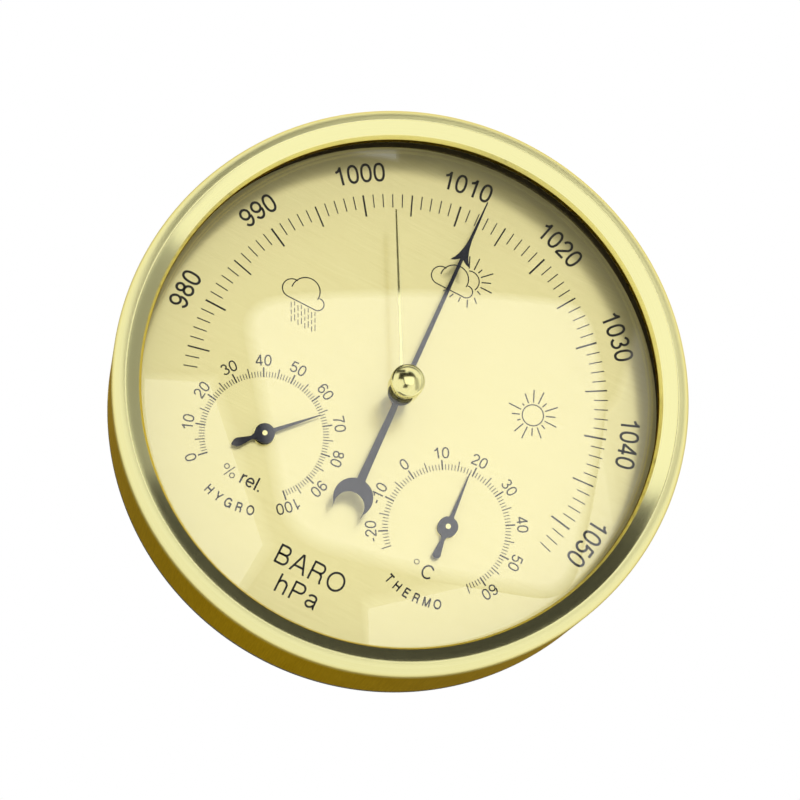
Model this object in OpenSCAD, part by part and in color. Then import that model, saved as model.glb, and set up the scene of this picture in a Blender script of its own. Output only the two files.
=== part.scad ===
// Round wall weather station: aneroid barometer, coil thermometer and coil hygrometer in one case.
// The wall plane is y = 0, the case axis is the y axis and the dial looks towards -y.

/* [Case] */
// Outer diameter of the case
case_d = 132; // [128:0.5:140]
// Thickness of the spun case sheet
sheet_t = 0.9; // [0.7:0.05:1.1]
// Height of the rim's crest above the dial face
rim_rise = 15.9; // [14.5:0.1:18]
// Outer corner radius of the rim
rim_round = 3.4; // [2.4:0.1:4]
// Width of the rim as seen from the front
rim_w = 6.4; // [6:0.1:6.8]
// Height of the lip's top edge above the dial face
lip_rise = 11.05; // [10.8:0.05:11.6]
// How far the side wall reaches behind the dial face
side_back = 10.9; // [9.5:0.1:12]
// Shank diameter of the case screws
case_screw_d = 2; // [1.6:0.1:2.4]

/* [Glass] */
// Room between the glass's edge and the case wall
glass_room = 2.7; // [2.5:0.1:2.9]
// Thickness of the glass
glass_t = 1.8; // [1.5:0.1:2.2]
// Height of the dome's top above the dial face
glass_rise = 16.4; // [16:0.1:17.5]
// Thickness of the gasket under the glass
gasket_t = 0.6; // [0.4:0.1:1]
// Width of the seat that the glass lies on
seat_w = 1.3; // [1.1:0.1:1.5]
// Wall of the ring between dial and glass
spacer_wall = 1.5; // [1.2:0.1:1.8]

/* [Dial] */
// Room between the dial plate's edge and the case wall
dial_room = 0.7; // [0.6:0.05:0.9]
// Thickness of the dial plate
dial_t = 0.8; // [0.6:0.1:1]
// Sideways distance of each small scale from the middle
sub_x = 23.4; // [22.8:0.1:24.5]
// Distance of the small scales below the middle
sub_y = 21.6; // [21.2:0.1:23]

/* [Rear cover] */
// Distance from the dial face to the wall
depth_behind = 24; // [23.6:0.1:27]
// How far the rear cup stands back from the case wall
cup_step = 8; // [7.5:0.5:9]
// Wall of the rear cup
cup_wall = 1.8; // [1.4:0.1:2.4]
// Thickness of the cover's back
back_t = 2; // [1.8:0.1:2.4]
// Thickness of the flange behind the case
flange_t = 1.7; // [1.4:0.1:2.2]
// Wall of the collar inside the case
collar_wall = 2.5; // [2:0.1:3]
// Number of air slots
vent_count = 7; // [3:1:7]
// Width of an air slot
vent_w = 2; // [1.5:0.1:2.4]
// Length of the middle air slot
vent_len = 15; // [10:0.5:17]

/* [Hanger] */
// Entry hole diameter of the keyhole
key_d = 8.4; // [7.5:0.1:9]
// Slot width of the keyhole
key_slot_w = 4.2; // [3.5:0.1:4.4]
// How far the slot runs up from the entry hole
key_slot_len = 6; // [5:0.5:7]
// Distance of the entry hole from the cup's inner wall
key_inset = 16.2; // [16:0.1:17]
// Width of the hanger plate
hanger_w = 24; // [23.5:0.5:27]
// Thickness of the hanger plate
hanger_t = 1; // [0.8:0.1:1.2]
// Depth of the pocket behind the hanger plate
pocket_depth = 5.5; // [4.5:0.5:6.5]

/* [Movement frame] */
// Room between the base plate and the hanger's pocket
base_room = 2.6; // [2:0.1:3]
// Thickness of the base plate
base_t = 1.2; // [1:0.1:1.4]
// Height of the cover's bosses under the base plate
boss_h = 1.6; // [1.2:0.1:1.8]
// Length of the long pillars
pillar_long = 9.8; // [9.8:0.1:10.2]
// Length of the short pillars
pillar_short = 5.4; // [5.2:0.1:5.6]
// Diameter of the pillars
pillar_d = 3; // [2.6:0.1:3.2]
// Sideways reach of the pillars
pillar_x = 20; // [19.8:0.1:21]
// Upward reach of the pillars
pillar_y = 10; // [9.6:0.1:10.4]
// Thickness of the two bridge plates
bridge_t = 1; // [0.8:0.05:1]
// Diameter of the frame screws' shanks
frame_screw_d = 1.8; // [1.6:0.1:2]

/* [Barometer works] */
// Diameter of the pressure capsule
capsule_d = 38; // [34:0.5:38]
// Thickness of the capsule at its middle
capsule_h = 3.6; // [3.4:0.1:3.8]
// Wall of the capsule's sheet
capsule_t = 0.35; // [0.25:0.05:0.4]
// Tooth size (module) of sector and pinion
module_mm = 0.35; // [0.34:0.005:0.355]
// Teeth on the pinion
pinion_teeth = 12; // [12:1:12]
// Teeth that a full wheel of the sector's size would have
sector_teeth = 108; // [108:1:108]
// Thickness of the sector
sector_t = 0.8; // [0.6:0.05:0.9]
// Distance of the tail pin from the sector's pivot
tail_pin_r = 6; // [5.8:0.05:6.1]
// Height of the rocking arm's ball above the rock shaft
rock_arm = 4; // [3.9:0.05:4.1]
// Length of the arm that rests on the capsule's stud
stud_arm = 1.6; // [1.5:0.05:1.7]
// Diameter of the rock shaft
rock_d = 1.4; // [1.2:0.05:1.5]
// Diameter of the pointer's arbor
arbor_d = 1.8; // [1.6:0.05:1.9]
// Diameter of the fine pivots
pivot_d = 1; // [0.8:0.05:1.1]
// Turns of the hairspring
hair_turns = 5; // [3:1:6]
// Width of the carrier leaf
leaf_w = 10; // [9:0.5:12]
// Thickness of the carrier leaf
leaf_t = 0.5; // [0.4:0.05:0.6]

/* [Hands] */
// Pressure that the pointer shows at rest, in hPa
shown_hpa = 1012.2; // [1005:0.1:1020]
// Pressure that the set hand marks, in hPa
marked_hpa = 1002.7; // [990:0.1:1040]
// Angle of one hPa on the main scale
hpa_deg = 2.707; // [2.7:0.001:2.71]
// Length of the pointer from its pivot to its tip
pointer_tip_r = 50.5; // [48:0.1:52]
// Distance of the arrow head's barbs from the pivot
barb_r = 34.6; // [33:0.1:36]
// Distance of the crescent's middle from the pivot
crescent_r = 26.9; // [25:0.1:28]
// Outer diameter of the crescent
crescent_d = 9.1; // [8:0.1:9.6]
// Height of the pointer above the dial
pointer_lift = 6.8; // [6.4:0.1:7]
// Thickness of the pointer
pointer_t = 0.5; // [0.4:0.05:0.6]
// Length of the set hand
set_tip_r = 42.8; // [40:0.1:43.5]
// Height of the set hand above the dial
set_lift = 9.4; // [9.2:0.1:9.6]
// Diameter of the knob
knob_d = 7.8; // [7:0.1:8.4]
// Height of the knob
knob_h = 3.4; // [3:0.1:3.8]
// Diameter of the set hand's arbor
set_arbor_d = 2.2; // [2:0.05:2.4]

/* [Small instruments] */
// Temperature shown, in degrees
shown_celsius = 18.7; // [15:0.1:25]
// Humidity shown, in per cent
shown_percent = 66.3; // [60:0.1:70]
// Length of a small needle's point from its pivot
needle_tip_r = 13.5; // [12.8:0.1:13.9]
// Length of a small needle's tail
needle_tail_r = 8; // [7:0.1:8.4]
// Diameter of a small needle's hub
needle_hub_d = 4.7; // [4.2:0.1:5]
// Height of the small needles above the dial
needle_lift = 1.5; // [1.3:0.1:1.7]
// Thickness of a small needle
needle_t = 0.4; // [0.3:0.05:0.5]
// Diameter of a small arbor
small_arbor_d = 1.2; // [1:0.05:1.3]
// Outer diameter of a coil's cup
coil_cup_d = 17.2; // [16.6:0.1:17.4]
// Depth of a coil's cup
coil_cup_h = 5.8; // [5.4:0.1:6.2]
// Turns of a coil
coil_turns = 5; // [4:1:6]
// Thickness of a coil's strip
coil_t = 0.3; // [0.2:0.05:0.35]

/* [Fits] */
// Radial play of a pivot that turns
run_fit = 0.05; // [0.03:0.01:0.08]
// Radial play of a piece that is fixed in place
seat_fit = 0.02; // [0.01:0.01:0.04]
// Play between the case and what slides into it
slide_fit = 0.4; // [0.3:0.05:0.5]

/* [Hidden] */
$fn = 96;
e = 0.01;

// Case and glass, heights measured from the dial face towards the viewer
case_r = case_d / 2;
wall_in_r = case_r - sheet_t;
lip_r = case_r - rim_w;
lip_t = 0.6;
lip_under = lip_rise - lip_t;
bead_r = case_r - rim_round;
bead_z = rim_rise - rim_round;
crest_in = 0.7;
glass_r = wall_in_r - glass_room;
spacer_r = glass_r - seat_w;
// The dome just clears the lip's underside
dome_sag = glass_rise - lip_under + 0.03;
dome_r = (lip_r * lip_r + dome_sag * dome_sag) / (2 * dome_sag);
dome_z = glass_rise - dome_r;
glass_in_z = glass_rise - glass_t;
// Height of the ground seat under the glass's edge
seat_z = dome_z + sqrt(pow(dome_r - glass_t, 2) - pow(spacer_r - 0.1, 2));
spacer_h = seat_z - gasket_t;
spacer_foot_h = 1.5;
dial_r = wall_in_r - dial_room;

// Rear cover
wall_z = -depth_behind;
floor_z = wall_z + back_t;
cup_r = case_r - cup_step;
cup_in_r = cup_r - cup_wall;
cup_edge = 1;
flange_z = -side_back - flange_t;
collar_r = wall_in_r - slide_fit;
collar_in_r = collar_r - collar_wall;
key_w = 3;
key_play = 0.2;
key_depth = 1.2;
case_screw_angles = [0, 115, 245];
case_screw_z = -6;
screw_head = 1.9;
vent_pitch = vent_w + 3.4;
vent_y = -(cup_in_r - 17.2);

// Hanger
key_z = cup_in_r - key_inset;
hanger_low = key_z - key_d / 2 - 2.8;
hanger_high = key_z + key_slot_len + key_slot_w / 2 + 2.9;
pocket_half = 6;
pocket_wall = 1.2;
pocket_low = key_z - key_d / 2 - 1;
pocket_high = key_z + key_slot_len + key_slot_w / 2 + 2;
pocket_z = wall_z + hanger_t + pocket_depth;
hanger_screw_x = 9.4;
hanger_screw_d = 1.6;
hanger_screw_len = 4.6;
hanger_boss_d = 3.6;

// Movement levels
base_z = floor_z + boss_h;
base_top = base_z + base_t;
low_z = base_top + pillar_long;
low_top = low_z + bridge_t;
high_z = low_top + pillar_short;
high_top = high_z + bridge_t;
frame_points = [[-pillar_x, pillar_y], [-pillar_x, -pillar_y], [pillar_x, pillar_y]];
base_r = pocket_low - pocket_wall - base_room;
base_screw_r = base_r - 4;
base_screw_angles = [60, 180, 300];
base_screw_d = 1.8;
base_screw_head_d = 3.6;
base_screw_head_h = 1;
low_w = 9;
high_w = 6.4;
frame_head_d = 3.6;
frame_head_h = 0.8;

// Gear pair
pressure = 20;
pinion_r = module_mm * pinion_teeth / 2;
sector_r = module_mm * sector_teeth / 2;
sector_x = -(pinion_r + sector_r);
tooth_gap = 0.05;
pinion_add = 1;
sector_add = 0.7;
root_gap = 0.25;
sector_half_teeth = 6;
sector_z = low_top + 1.5;
pinion_z = sector_z - 0.8;
pinion_h = sector_t + 1.6;
gear_ratio = sector_teeth / pinion_teeth;
mid_hpa = 1013;
pointer_deg = (mid_hpa - shown_hpa) * hpa_deg;
sector_deg = -pointer_deg / gear_ratio;
set_deg = (mid_hpa - marked_hpa) * hpa_deg;

// Rock shaft under the lower bridge
touch = 0.1;
ball_r = 0.6;
tail_pin_d = 1;
rock_y = -(ball_r + tail_pin_d / 2 + touch);
ball_z = low_top + 0.4;
rock_z = ball_z - rock_arm;
rock_bracket_x = [-17.4, -5];
rock_bracket_w = 2;
bracket_len = 4;
bracket_lead = 1.2;
bracket_screw_y = 1.7;
bracket_screw_d = 1.2;
bracket_head_d = 2.2;
rock_end = 1.2;
arm_half = 0.3;
arm_w = 1.4;
ball_w = 1.8;
stud_arm_half = 0.4;
stud_arm_w = 1.6;
stud_arm_end = 0.9;
capsule_y = rock_y - stud_arm;
stud_ball_r = 0.6;
stud_touch = 0.15;
stud_ball_z = rock_z - stud_arm_half - stud_ball_r - stud_touch;

// Capsule on its leaf
leaf_block_h = 0.65;
leaf_z = base_top + leaf_block_h;
capsule_z = leaf_z + leaf_t;
capsule_boss_h = 0.45;
capsule_low = capsule_z + capsule_boss_h;
capsule_top_z = capsule_low + capsule_h;
capsule_seam = capsule_low + capsule_h / 2;
capsule_r = capsule_d / 2;
capsule_rim = 1.6;
capsule_boss_r = 2.5;
leaf_end_y = capsule_y + capsule_r + 7.5;
leaf_block_len = 6;
leaf_screw_x = 2.6;
leaf_screw_y = leaf_end_y - leaf_block_len / 2;
leaf_tip_y = capsule_y - 6;
adjust_head_d = 4;
adjust_hole_d = 4.6;
adjust_d = 3;

// Hairspring
hair_t = 0.2;
hair_h = 0.6;
collet_r = 1.75;
hair_in_r = collet_r + hair_t / 2 + touch;
hair_out_r = 5.6;
collet_z = pinion_z + pinion_h + 0.4;
collet_h = 1;
hair_z = collet_z + 0.2;
hair_angle = atan2(pillar_y, pillar_x);
stud_post_d = 1.2;
stud_post_r = hair_out_r + hair_t / 2 + touch + stud_post_d / 2;

// Pointer
pointer_hub_r = 3;
pointer_boss_r = 1.9;
pointer_boss_h = 0.5;
pointer_collet_r = 1.5;
pointer_collet_h = 1.2;
arbor_top = pointer_lift + pointer_t + pointer_boss_h;
pointer_root_w = 1.3;
pointer_neck_w = 0.9;
pointer_tip_w = 0.24;
barb_w = 4.6;
barb_notch = 0.7;
head_mid = 2.3;
head_mid_w = 2.5;
head_len = 5.4;
tail_root_w = 1.4;
tail_w = 1.9;
tail_sink = 0.4;
crescent_bite = 1.05;
crescent_shift = 2.3;
dial_arbor_hole = 3.2;

// Knob and set hand
bush_r = 2;
bush_flange_r = 3.1;
bush_flange_h = 0.6;
bush_nut_r = 3;
bush_nut_h = 1.3;
bush_head_sag = 0.03;
bush_top = glass_rise + bush_flange_h;
bush_low = glass_in_z - bush_nut_h - 0.3;
washer_t = 0.3;
washer_r = 2.8;
set_t = 0.3;
set_hub_r = 1.9;
set_rivet_r = 1.6;
set_rivet_h = 0.4;
set_shoulder_r = 1.7;
set_root_w = 0.9;
set_point_w = 0.3;
knob_z = bush_top + 0.2;
knob_flutes = 32;
knob_flute_r = 0.2;
knob_dome = 0.9;
knob_socket = 1.9;

// Small instruments
small_bush_r = 1.9;
small_flange_r = 2.5;
small_flange_h = 0.8;
small_nut_r = 3.4;
small_nut_h = 1.4;
coil_floor_t = 0.6;
coil_wall = 0.6;
coil_floor_z = -dial_t - coil_floor_t;
small_nut_z = coil_floor_z - small_nut_h;
small_bush_low = small_nut_z - 0.2;
coil_strip_h = 2.2;
coil_collet_r = 1.3;
coil_collet_z = small_bush_low - 0.1;
coil_low = coil_collet_z - 0.3 - coil_strip_h;
coil_in_r = coil_collet_r + coil_t / 2 + touch;
coil_out_r = coil_cup_d / 2 - coil_wall - coil_t / 2 - touch;
needle_root_w = 1.1;
needle_point_w = 0.24;
neck_root_w = 1.2;
neck_w = 0.8;
neck_len = 0.9;
spade_w = 2;
spade_len = 1.7;
spade_end_w = 1.8;
spade_end = 0.9;
spade_tip_w = 0.4;
celsius_deg = 3;
mid_celsius = 20;
percent_deg = 2.7;
mid_percent = 50;
thermo_deg = (mid_celsius - shown_celsius) * celsius_deg;
hygro_deg = (mid_percent - shown_percent) * percent_deg;

// Dial frame: x right, y up, z from the dial face towards the viewer
module from_dial() {
    translate([0, -depth_behind, 0]) rotate([90, 0, 0]) children();
}

// Angles on the dial run clockwise from the top
module at_clock(a, r) {
    rotate([0, 0, -a]) translate([0, r, 0]) children();
}

module disc(r, z, h) {
    translate([0, 0, z]) cylinder(r = r, h = h);
}

module ring(r_out, r_in, z, h) {
    difference() {
        disc(r_out, z, h);
        disc(r_in, z - 1, h + 2);
    }
}

// Flat bar with round ends between two points
module strap(a, b, w) {
    d = b - a;
    translate(a) rotate([0, 0, atan2(d[1], d[0])]) translate([0, -w / 2]) square([norm(d), w]);
    translate(a) circle(d = w);
    translate(b) circle(d = w);
}

// Points of an arc, used inside outlines
function arc(cx, cy, r, a0, a1, n) = [for (i = [0:n]) let (a = a0 + (a1 - a0) * i / n)
    [cx + r * cos(a), cy + r * sin(a)]];

module case_shell() {
    color([0.78, 0.66, 0.33]) from_dial() difference() {
        rotate_extrude($fn = 180) polygon(concat(
            [[case_r, -side_back]],
            arc(bead_r, bead_z, rim_round, 0, 90, 10),
            [[bead_r - crest_in / 2, rim_rise - 0.1], [bead_r - crest_in, rim_rise - 0.35]],
            [[lip_r + 0.1, lip_rise], [lip_r, lip_rise - 0.1], [lip_r, lip_under]],
            [[lip_r + 0.8, lip_under], [bead_r - 0.35, rim_rise - sheet_t - 0.3]],
            arc(bead_r, bead_z, rim_round - sheet_t, 90, 0, 8),
            [[wall_in_r, -side_back]]));
        for (a = case_screw_angles) at_clock(a, 0) translate([0, 0, case_screw_z]) rotate([-90, 0, 0]) {
            cylinder(d = case_screw_d + 0.2, h = case_r + 1);
            translate([0, 0, wall_in_r]) cylinder(r1 = case_screw_d / 2 + 0.1, r2 = screw_head + 0.05,
                h = sheet_t + 0.01);
        }
    }
}

// Countersunk screws that hold the shell on the rear cover's collar
module case_screws() {
    color("silver") from_dial() for (a = case_screw_angles)
        at_clock(a, 0) translate([0, 0, case_screw_z]) rotate([-90, 0, 0]) difference() {
            union() {
                translate([0, 0, collar_in_r - 1])
                    cylinder(d = case_screw_d, h = wall_in_r - collar_in_r + 1);
                translate([0, 0, wall_in_r]) cylinder(r1 = case_screw_d / 2, r2 = screw_head,
                    h = sheet_t - 0.05);
            }
            translate([-screw_head, -0.2, case_r - 0.4]) cube([2 * screw_head, 0.4, 1]);
        }
}

module glass() {
    color([0.9, 0.95, 1, 0.3]) from_dial() difference() {
        intersection() {
            translate([0, 0, dome_z]) sphere(r = dome_r, $fn = 360);
            disc(glass_r, seat_z, glass_rise);
        }
        translate([0, 0, dome_z]) sphere(r = dome_r - glass_t, $fn = 360);
        disc(bush_r + seat_fit, 0, glass_rise + 1);
    }
}

module glass_gasket() {
    color([0.06, 0.06, 0.06]) from_dial() ring(spacer_r + spacer_wall, spacer_r, spacer_h, gasket_t);
}

// Black ring that keeps the glass off the dial
module spacer_ring() {
    color([0.08, 0.08, 0.08]) from_dial() difference() {
        union() {
            disc(spacer_r + spacer_wall, 0, spacer_h);
            disc(dial_r, 0, spacer_foot_h);
        }
        disc(spacer_r, -1, spacer_h + 2);
    }
}

module dial_plate() {
    color([0.9, 0.83, 0.58]) from_dial() difference() {
        disc(dial_r, -dial_t, dial_t);
        disc(dial_arbor_hole / 2, -dial_t - 1, dial_t + 2);
        for (s = [-1, 1]) translate([s * sub_x, -sub_y, 0])
            disc(small_bush_r + seat_fit, -dial_t - 1, dial_t + 2);
        // notch that the cover's key sits in
        translate([-key_w / 2, dial_r - key_depth, -dial_t - 1]) cube([key_w, key_depth + 1, dial_t + 2]);
    }
}

module rear_cover() {
    color([0.1, 0.1, 0.1]) from_dial() difference() {
        union() {
            rotate_extrude($fn = 180) polygon([[0, wall_z], [cup_r - cup_edge, wall_z],
                [cup_r, wall_z + cup_edge], [cup_r, flange_z], [case_r, flange_z],
                [case_r, -side_back], [collar_r, -side_back], [collar_r, -dial_t],
                [collar_in_r, -dial_t], [collar_in_r, -side_back], [cup_in_r, -side_back],
                [cup_in_r, floor_z], [0, floor_z]]);
            // key for the dial's notch
            translate([-key_w / 2 + key_play, dial_r - key_depth + key_play, -dial_t - 1])
                cube([key_w - 2 * key_play, key_depth - 2 * key_play, 1 + dial_t - 0.05]);
            for (a = base_screw_angles) rotate([0, 0, a]) translate([base_screw_r, 0, 0])
                disc(base_screw_d / 2 + 1.6, floor_z - e, boss_h + e);
            // pocket for the head of the wall screw, and the bosses beside it
            translate([-pocket_half - pocket_wall, pocket_low - pocket_wall, floor_z - e])
                cube([2 * (pocket_half + pocket_wall), pocket_high - pocket_low + 2 * pocket_wall,
                    pocket_z - floor_z + pocket_wall + e]);
            for (s = [-1, 1]) translate([s * hanger_screw_x, key_z, 0])
                disc(hanger_boss_d / 2, floor_z - e, hanger_screw_len - back_t + 1 + e);
        }
        translate([-pocket_half, pocket_low, wall_z - 1])
            cube([2 * pocket_half, pocket_high - pocket_low, pocket_z - wall_z + 1]);
        translate([-hanger_w / 2, hanger_low, wall_z - 1])
            cube([hanger_w, hanger_high - hanger_low, hanger_t + 1]);
        for (s = [-1, 1]) translate([s * hanger_screw_x, key_z, 0])
            disc(hanger_screw_d / 2 + seat_fit, wall_z, hanger_screw_len);
        for (a = base_screw_angles) rotate([0, 0, a]) translate([base_screw_r, 0, 0])
            disc(base_screw_d / 2 + seat_fit, wall_z + 0.8, back_t + boss_h);
        translate([0, capsule_y, 0]) disc(adjust_hole_d / 2, wall_z - 1, back_t + 2);
        for (a = case_screw_angles) at_clock(a, 0) translate([0, 0, case_screw_z]) rotate([-90, 0, 0])
            translate([0, 0, collar_in_r - 2]) cylinder(r = case_screw_d / 2 + seat_fit, h = collar_wall + 3);
        // air slots, longest in the middle
        for (i = [0:vent_count - 1]) let (x = (i - (vent_count - 1) / 2) * vent_pitch,
            half = (vent_len - abs(x) * 0.45) / 2 - vent_w / 2) translate([x, vent_y, 0]) {
            translate([-vent_w / 2, -half, wall_z - 1]) cube([vent_w, 2 * half, back_t + 2]);
            for (s = [-1, 1]) translate([0, s * half, 0]) disc(vent_w / 2, wall_z - 1, back_t + 2);
        }
    }
}

// Steel plate with the keyhole, let in flush with the cover's back
module hanger_plate() {
    play = 0.1;
    color("silver") from_dial() difference() {
        translate([-hanger_w / 2 + play, hanger_low + play, wall_z])
            cube([hanger_w - 2 * play, hanger_high - hanger_low - 2 * play, hanger_t]);
        translate([0, key_z, 0]) disc(key_d / 2, wall_z - 1, hanger_t + 2);
        translate([0, key_z + key_slot_len, 0]) disc(key_slot_w / 2, wall_z - 1, hanger_t + 2);
        translate([-key_slot_w / 2, key_z, wall_z - 1]) cube([key_slot_w, key_slot_len, hanger_t + 2]);
        for (s = [-1, 1]) translate([s * hanger_screw_x, key_z, 0]) {
            disc(hanger_screw_d / 2 + 0.1, wall_z - 1, hanger_t + 2);
            translate([0, 0, wall_z - e]) cylinder(r1 = hanger_screw_d / 2 + 0.85,
                r2 = hanger_screw_d / 2 + 0.1, h = 0.8 + e);
        }
    }
}

module hanger_screws() {
    color("gray") from_dial() for (s = [-1, 1]) translate([s * hanger_screw_x, key_z, 0]) difference() {
        union() {
            translate([0, 0, wall_z + 0.05]) cylinder(r1 = hanger_screw_d / 2 + 0.7,
                r2 = hanger_screw_d / 2, h = 0.7);
            disc(hanger_screw_d / 2, wall_z + 0.7, hanger_screw_len - 0.8);
        }
        translate([-2, -0.2, wall_z - 1]) cube([4, 0.4, 1.4]);
        translate([-0.2, -2, wall_z - 1]) cube([0.4, 4, 1.4]);
    }
}

module base_plate() {
    color([0.75, 0.65, 0.35]) from_dial() difference() {
        disc(base_r, base_z, base_t);
        for (a = base_screw_angles) rotate([0, 0, a]) translate([base_screw_r, 0, 0])
            disc(base_screw_d / 2 + 0.1, base_z - 1, base_t + 2);
        for (p = frame_points) translate(p) disc(frame_screw_d / 2 + seat_fit, base_z - 1, base_t + 2);
        translate([0, capsule_y, 0]) disc(adjust_d / 2 + run_fit, base_z - 1, base_t + 2);
        for (s = [-1, 1]) translate([s * leaf_screw_x, leaf_screw_y, 0])
            disc(0.7 + seat_fit, base_z - 1, base_t + 2);
    }
}

module base_screws() {
    color("silver") from_dial() for (a = base_screw_angles)
        rotate([0, 0, a]) translate([base_screw_r, 0, 0]) difference() {
            union() {
                disc(base_screw_head_d / 2, base_top, base_screw_head_h);
                disc(base_screw_d / 2, wall_z + 0.9, base_top - wall_z - 0.8);
            }
            translate([-base_screw_head_d, -0.25, base_top + base_screw_head_h - 0.5])
                cube([2 * base_screw_head_d, 0.5, 1]);
        }
}

module long_pillars() {
    color([0.8, 0.7, 0.4]) from_dial() for (p = frame_points) translate(p)
        ring(pillar_d / 2, frame_screw_d / 2 + seat_fit, base_top, pillar_long);
}

module short_pillars() {
    color([0.8, 0.7, 0.4]) from_dial() for (p = frame_points) translate(p)
        ring(pillar_d / 2, frame_screw_d / 2 + seat_fit, low_top, pillar_short);
}

// Triangle of flat bars that carries the lower pivots
module lower_bridge() {
    color([0.78, 0.68, 0.38]) from_dial() difference() {
        translate([0, 0, low_z]) linear_extrude(bridge_t) {
            strap(frame_points[0], frame_points[1], low_w);
            strap(frame_points[1], frame_points[2], low_w);
            strap(frame_points[2], frame_points[0], low_w);
        }
        for (p = frame_points) translate(p) disc(frame_screw_d / 2 + seat_fit, low_z - 1, bridge_t + 2);
        disc(pivot_d / 2 + run_fit, low_z - 1, bridge_t + 2);
        translate([sector_x, 0, 0]) disc(pivot_d / 2 + run_fit, low_z - 1, bridge_t + 2);
        for (x = rock_bracket_x) translate([x, rock_y + bracket_screw_y, 0])
            disc(bracket_screw_d / 2 + seat_fit, low_z - 1, bridge_t + 2);
    }
}

module upper_bridge() {
    color([0.78, 0.68, 0.38]) from_dial() difference() {
        translate([0, 0, high_z]) linear_extrude(bridge_t) {
            strap(frame_points[0], frame_points[1], high_w);
            strap(frame_points[1], frame_points[2], high_w);
        }
        for (p = frame_points) translate(p) disc(frame_screw_d / 2 + seat_fit, high_z - 1, bridge_t + 2);
        disc(arbor_d / 2 + run_fit, high_z - 1, bridge_t + 2);
        translate([sector_x, 0, 0]) disc(pivot_d / 2 + run_fit, high_z - 1, bridge_t + 2);
    }
}

// Long screws that clamp both bridges and their pillars to the base plate
module frame_screws() {
    color("silver") from_dial() for (p = frame_points) translate(p) difference() {
        union() {
            disc(frame_screw_d / 2, base_z, high_top - base_z + e);
            disc(frame_head_d / 2, high_top, frame_head_h);
        }
        translate([-frame_head_d, -0.2, high_top + frame_head_h - 0.4]) cube([2 * frame_head_d, 0.4, 1]);
    }
}

// Two lugs under the lower bridge, bored for the rock shaft
module rock_brackets() {
    color([0.8, 0.7, 0.4]) from_dial() for (x = rock_bracket_x) translate([x, rock_y, 0]) difference() {
        translate([-rock_bracket_w / 2, -bracket_lead, rock_z - rock_d])
            cube([rock_bracket_w, bracket_len, low_z - rock_z + rock_d]);
        translate([-rock_bracket_w, 0, rock_z]) rotate([0, 90, 0])
            cylinder(r = rock_d / 2 + run_fit, h = 2 * rock_bracket_w);
        translate([0, bracket_screw_y, 0]) disc(bracket_screw_d / 2 + seat_fit, low_z - 1.8, 3);
    }
}

module bracket_screws() {
    color("silver") from_dial() for (x = rock_bracket_x) translate([x, rock_y + bracket_screw_y, 0]) {
        disc(bracket_screw_d / 2, low_z - 1.5, bridge_t + 1.5 + e);
        disc(bracket_head_d / 2, low_top, 0.5);
    }
}

// Shaft with the arm that rests on the stud and the arm whose ball drives the sector
module rock_shaft() {
    tail_x = sector_x - tail_pin_r;
    color("lightsteelblue") from_dial() translate([0, rock_y, rock_z]) {
        translate([tail_x - rock_end, 0, 0]) rotate([0, 90, 0])
            cylinder(d = rock_d, h = 2 * rock_end - tail_x);
        translate([-stud_arm_w / 2, -stud_arm - stud_arm_end, -stud_arm_half])
            cube([stud_arm_w, stud_arm + stud_arm_end, 2 * stud_arm_half]);
        translate([tail_x - arm_w / 2, -arm_half, 0]) cube([arm_w, 2 * arm_half, rock_arm]);
        translate([tail_x - ball_w / 2, 0, rock_arm]) rotate([0, 90, 0]) cylinder(r = ball_r, h = ball_w);
    }
}

module leaf_block() {
    color([0.75, 0.65, 0.35]) from_dial() difference() {
        translate([-leaf_w / 2, leaf_end_y - leaf_block_len, base_top])
            cube([leaf_w, leaf_block_len, leaf_block_h]);
        for (s = [-1, 1]) translate([s * leaf_screw_x, leaf_screw_y, 0])
            disc(0.7 + 0.1, base_top - 1, leaf_block_h + 2);
    }
}

// Springy strip that carries the capsule and lies on the adjusting screw
module carrier_leaf() {
    color("silver") from_dial() difference() {
        translate([-leaf_w / 2, leaf_tip_y, leaf_z]) cube([leaf_w, leaf_end_y - leaf_tip_y, leaf_t]);
        for (s = [-1, 1]) translate([s * leaf_screw_x, leaf_screw_y, 0])
            disc(0.7 + 0.1, leaf_z - 1, leaf_t + 2);
    }
}

module leaf_screws() {
    color("gray") from_dial() for (s = [-1, 1]) translate([s * leaf_screw_x, leaf_screw_y, 0]) {
        disc(0.7, base_z, base_t + leaf_block_h + leaf_t + e);
        disc(1.3, capsule_z, 0.6);
    }
}

// Height of the inner side of a capsule half above the seam
function capsule_wave(r) = let (rise = capsule_h / 2 - capsule_t, far = capsule_r - capsule_rim,
    u = max(0, min(1, (far - r) / (far - capsule_boss_r - 1))))
    u < 0.2 ? rise * u / 0.2 : rise - 0.15 * (1 - cos(360 * 4 * (u - 0.2) / 0.8));

// Corrugated half with a flat rim at the seam
module capsule_half() {
    n = 60;
    rotate_extrude() polygon(concat(
        [for (i = [0:n]) let (r = capsule_r * i / n) [r, capsule_wave(r) + capsule_t]],
        [for (i = [n:-1:0]) let (r = capsule_r * i / n) [r, capsule_wave(r)]]));
}

module capsule_upper() {
    color([0.72, 0.72, 0.7]) from_dial() translate([0, capsule_y, capsule_seam]) difference() {
        capsule_half();
        disc(stud_ball_r + seat_fit, 0, capsule_h);
    }
}

module capsule_lower() {
    color([0.72, 0.72, 0.7]) from_dial() translate([0, capsule_y, 0]) {
        translate([0, 0, capsule_seam]) mirror([0, 0, 1]) capsule_half();
        disc(capsule_boss_r, capsule_z, capsule_boss_h + 0.2);
    }
}

module capsule_stud() {
    color([0.8, 0.7, 0.4]) from_dial() translate([0, capsule_y, 0]) {
        disc(stud_ball_r, capsule_top_z - capsule_t, stud_ball_z - capsule_top_z + capsule_t);
        disc(1.6, capsule_top_z, 0.3);
        translate([0, 0, stud_ball_z]) sphere(r = stud_ball_r, $fn = 48);
    }
}

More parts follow.
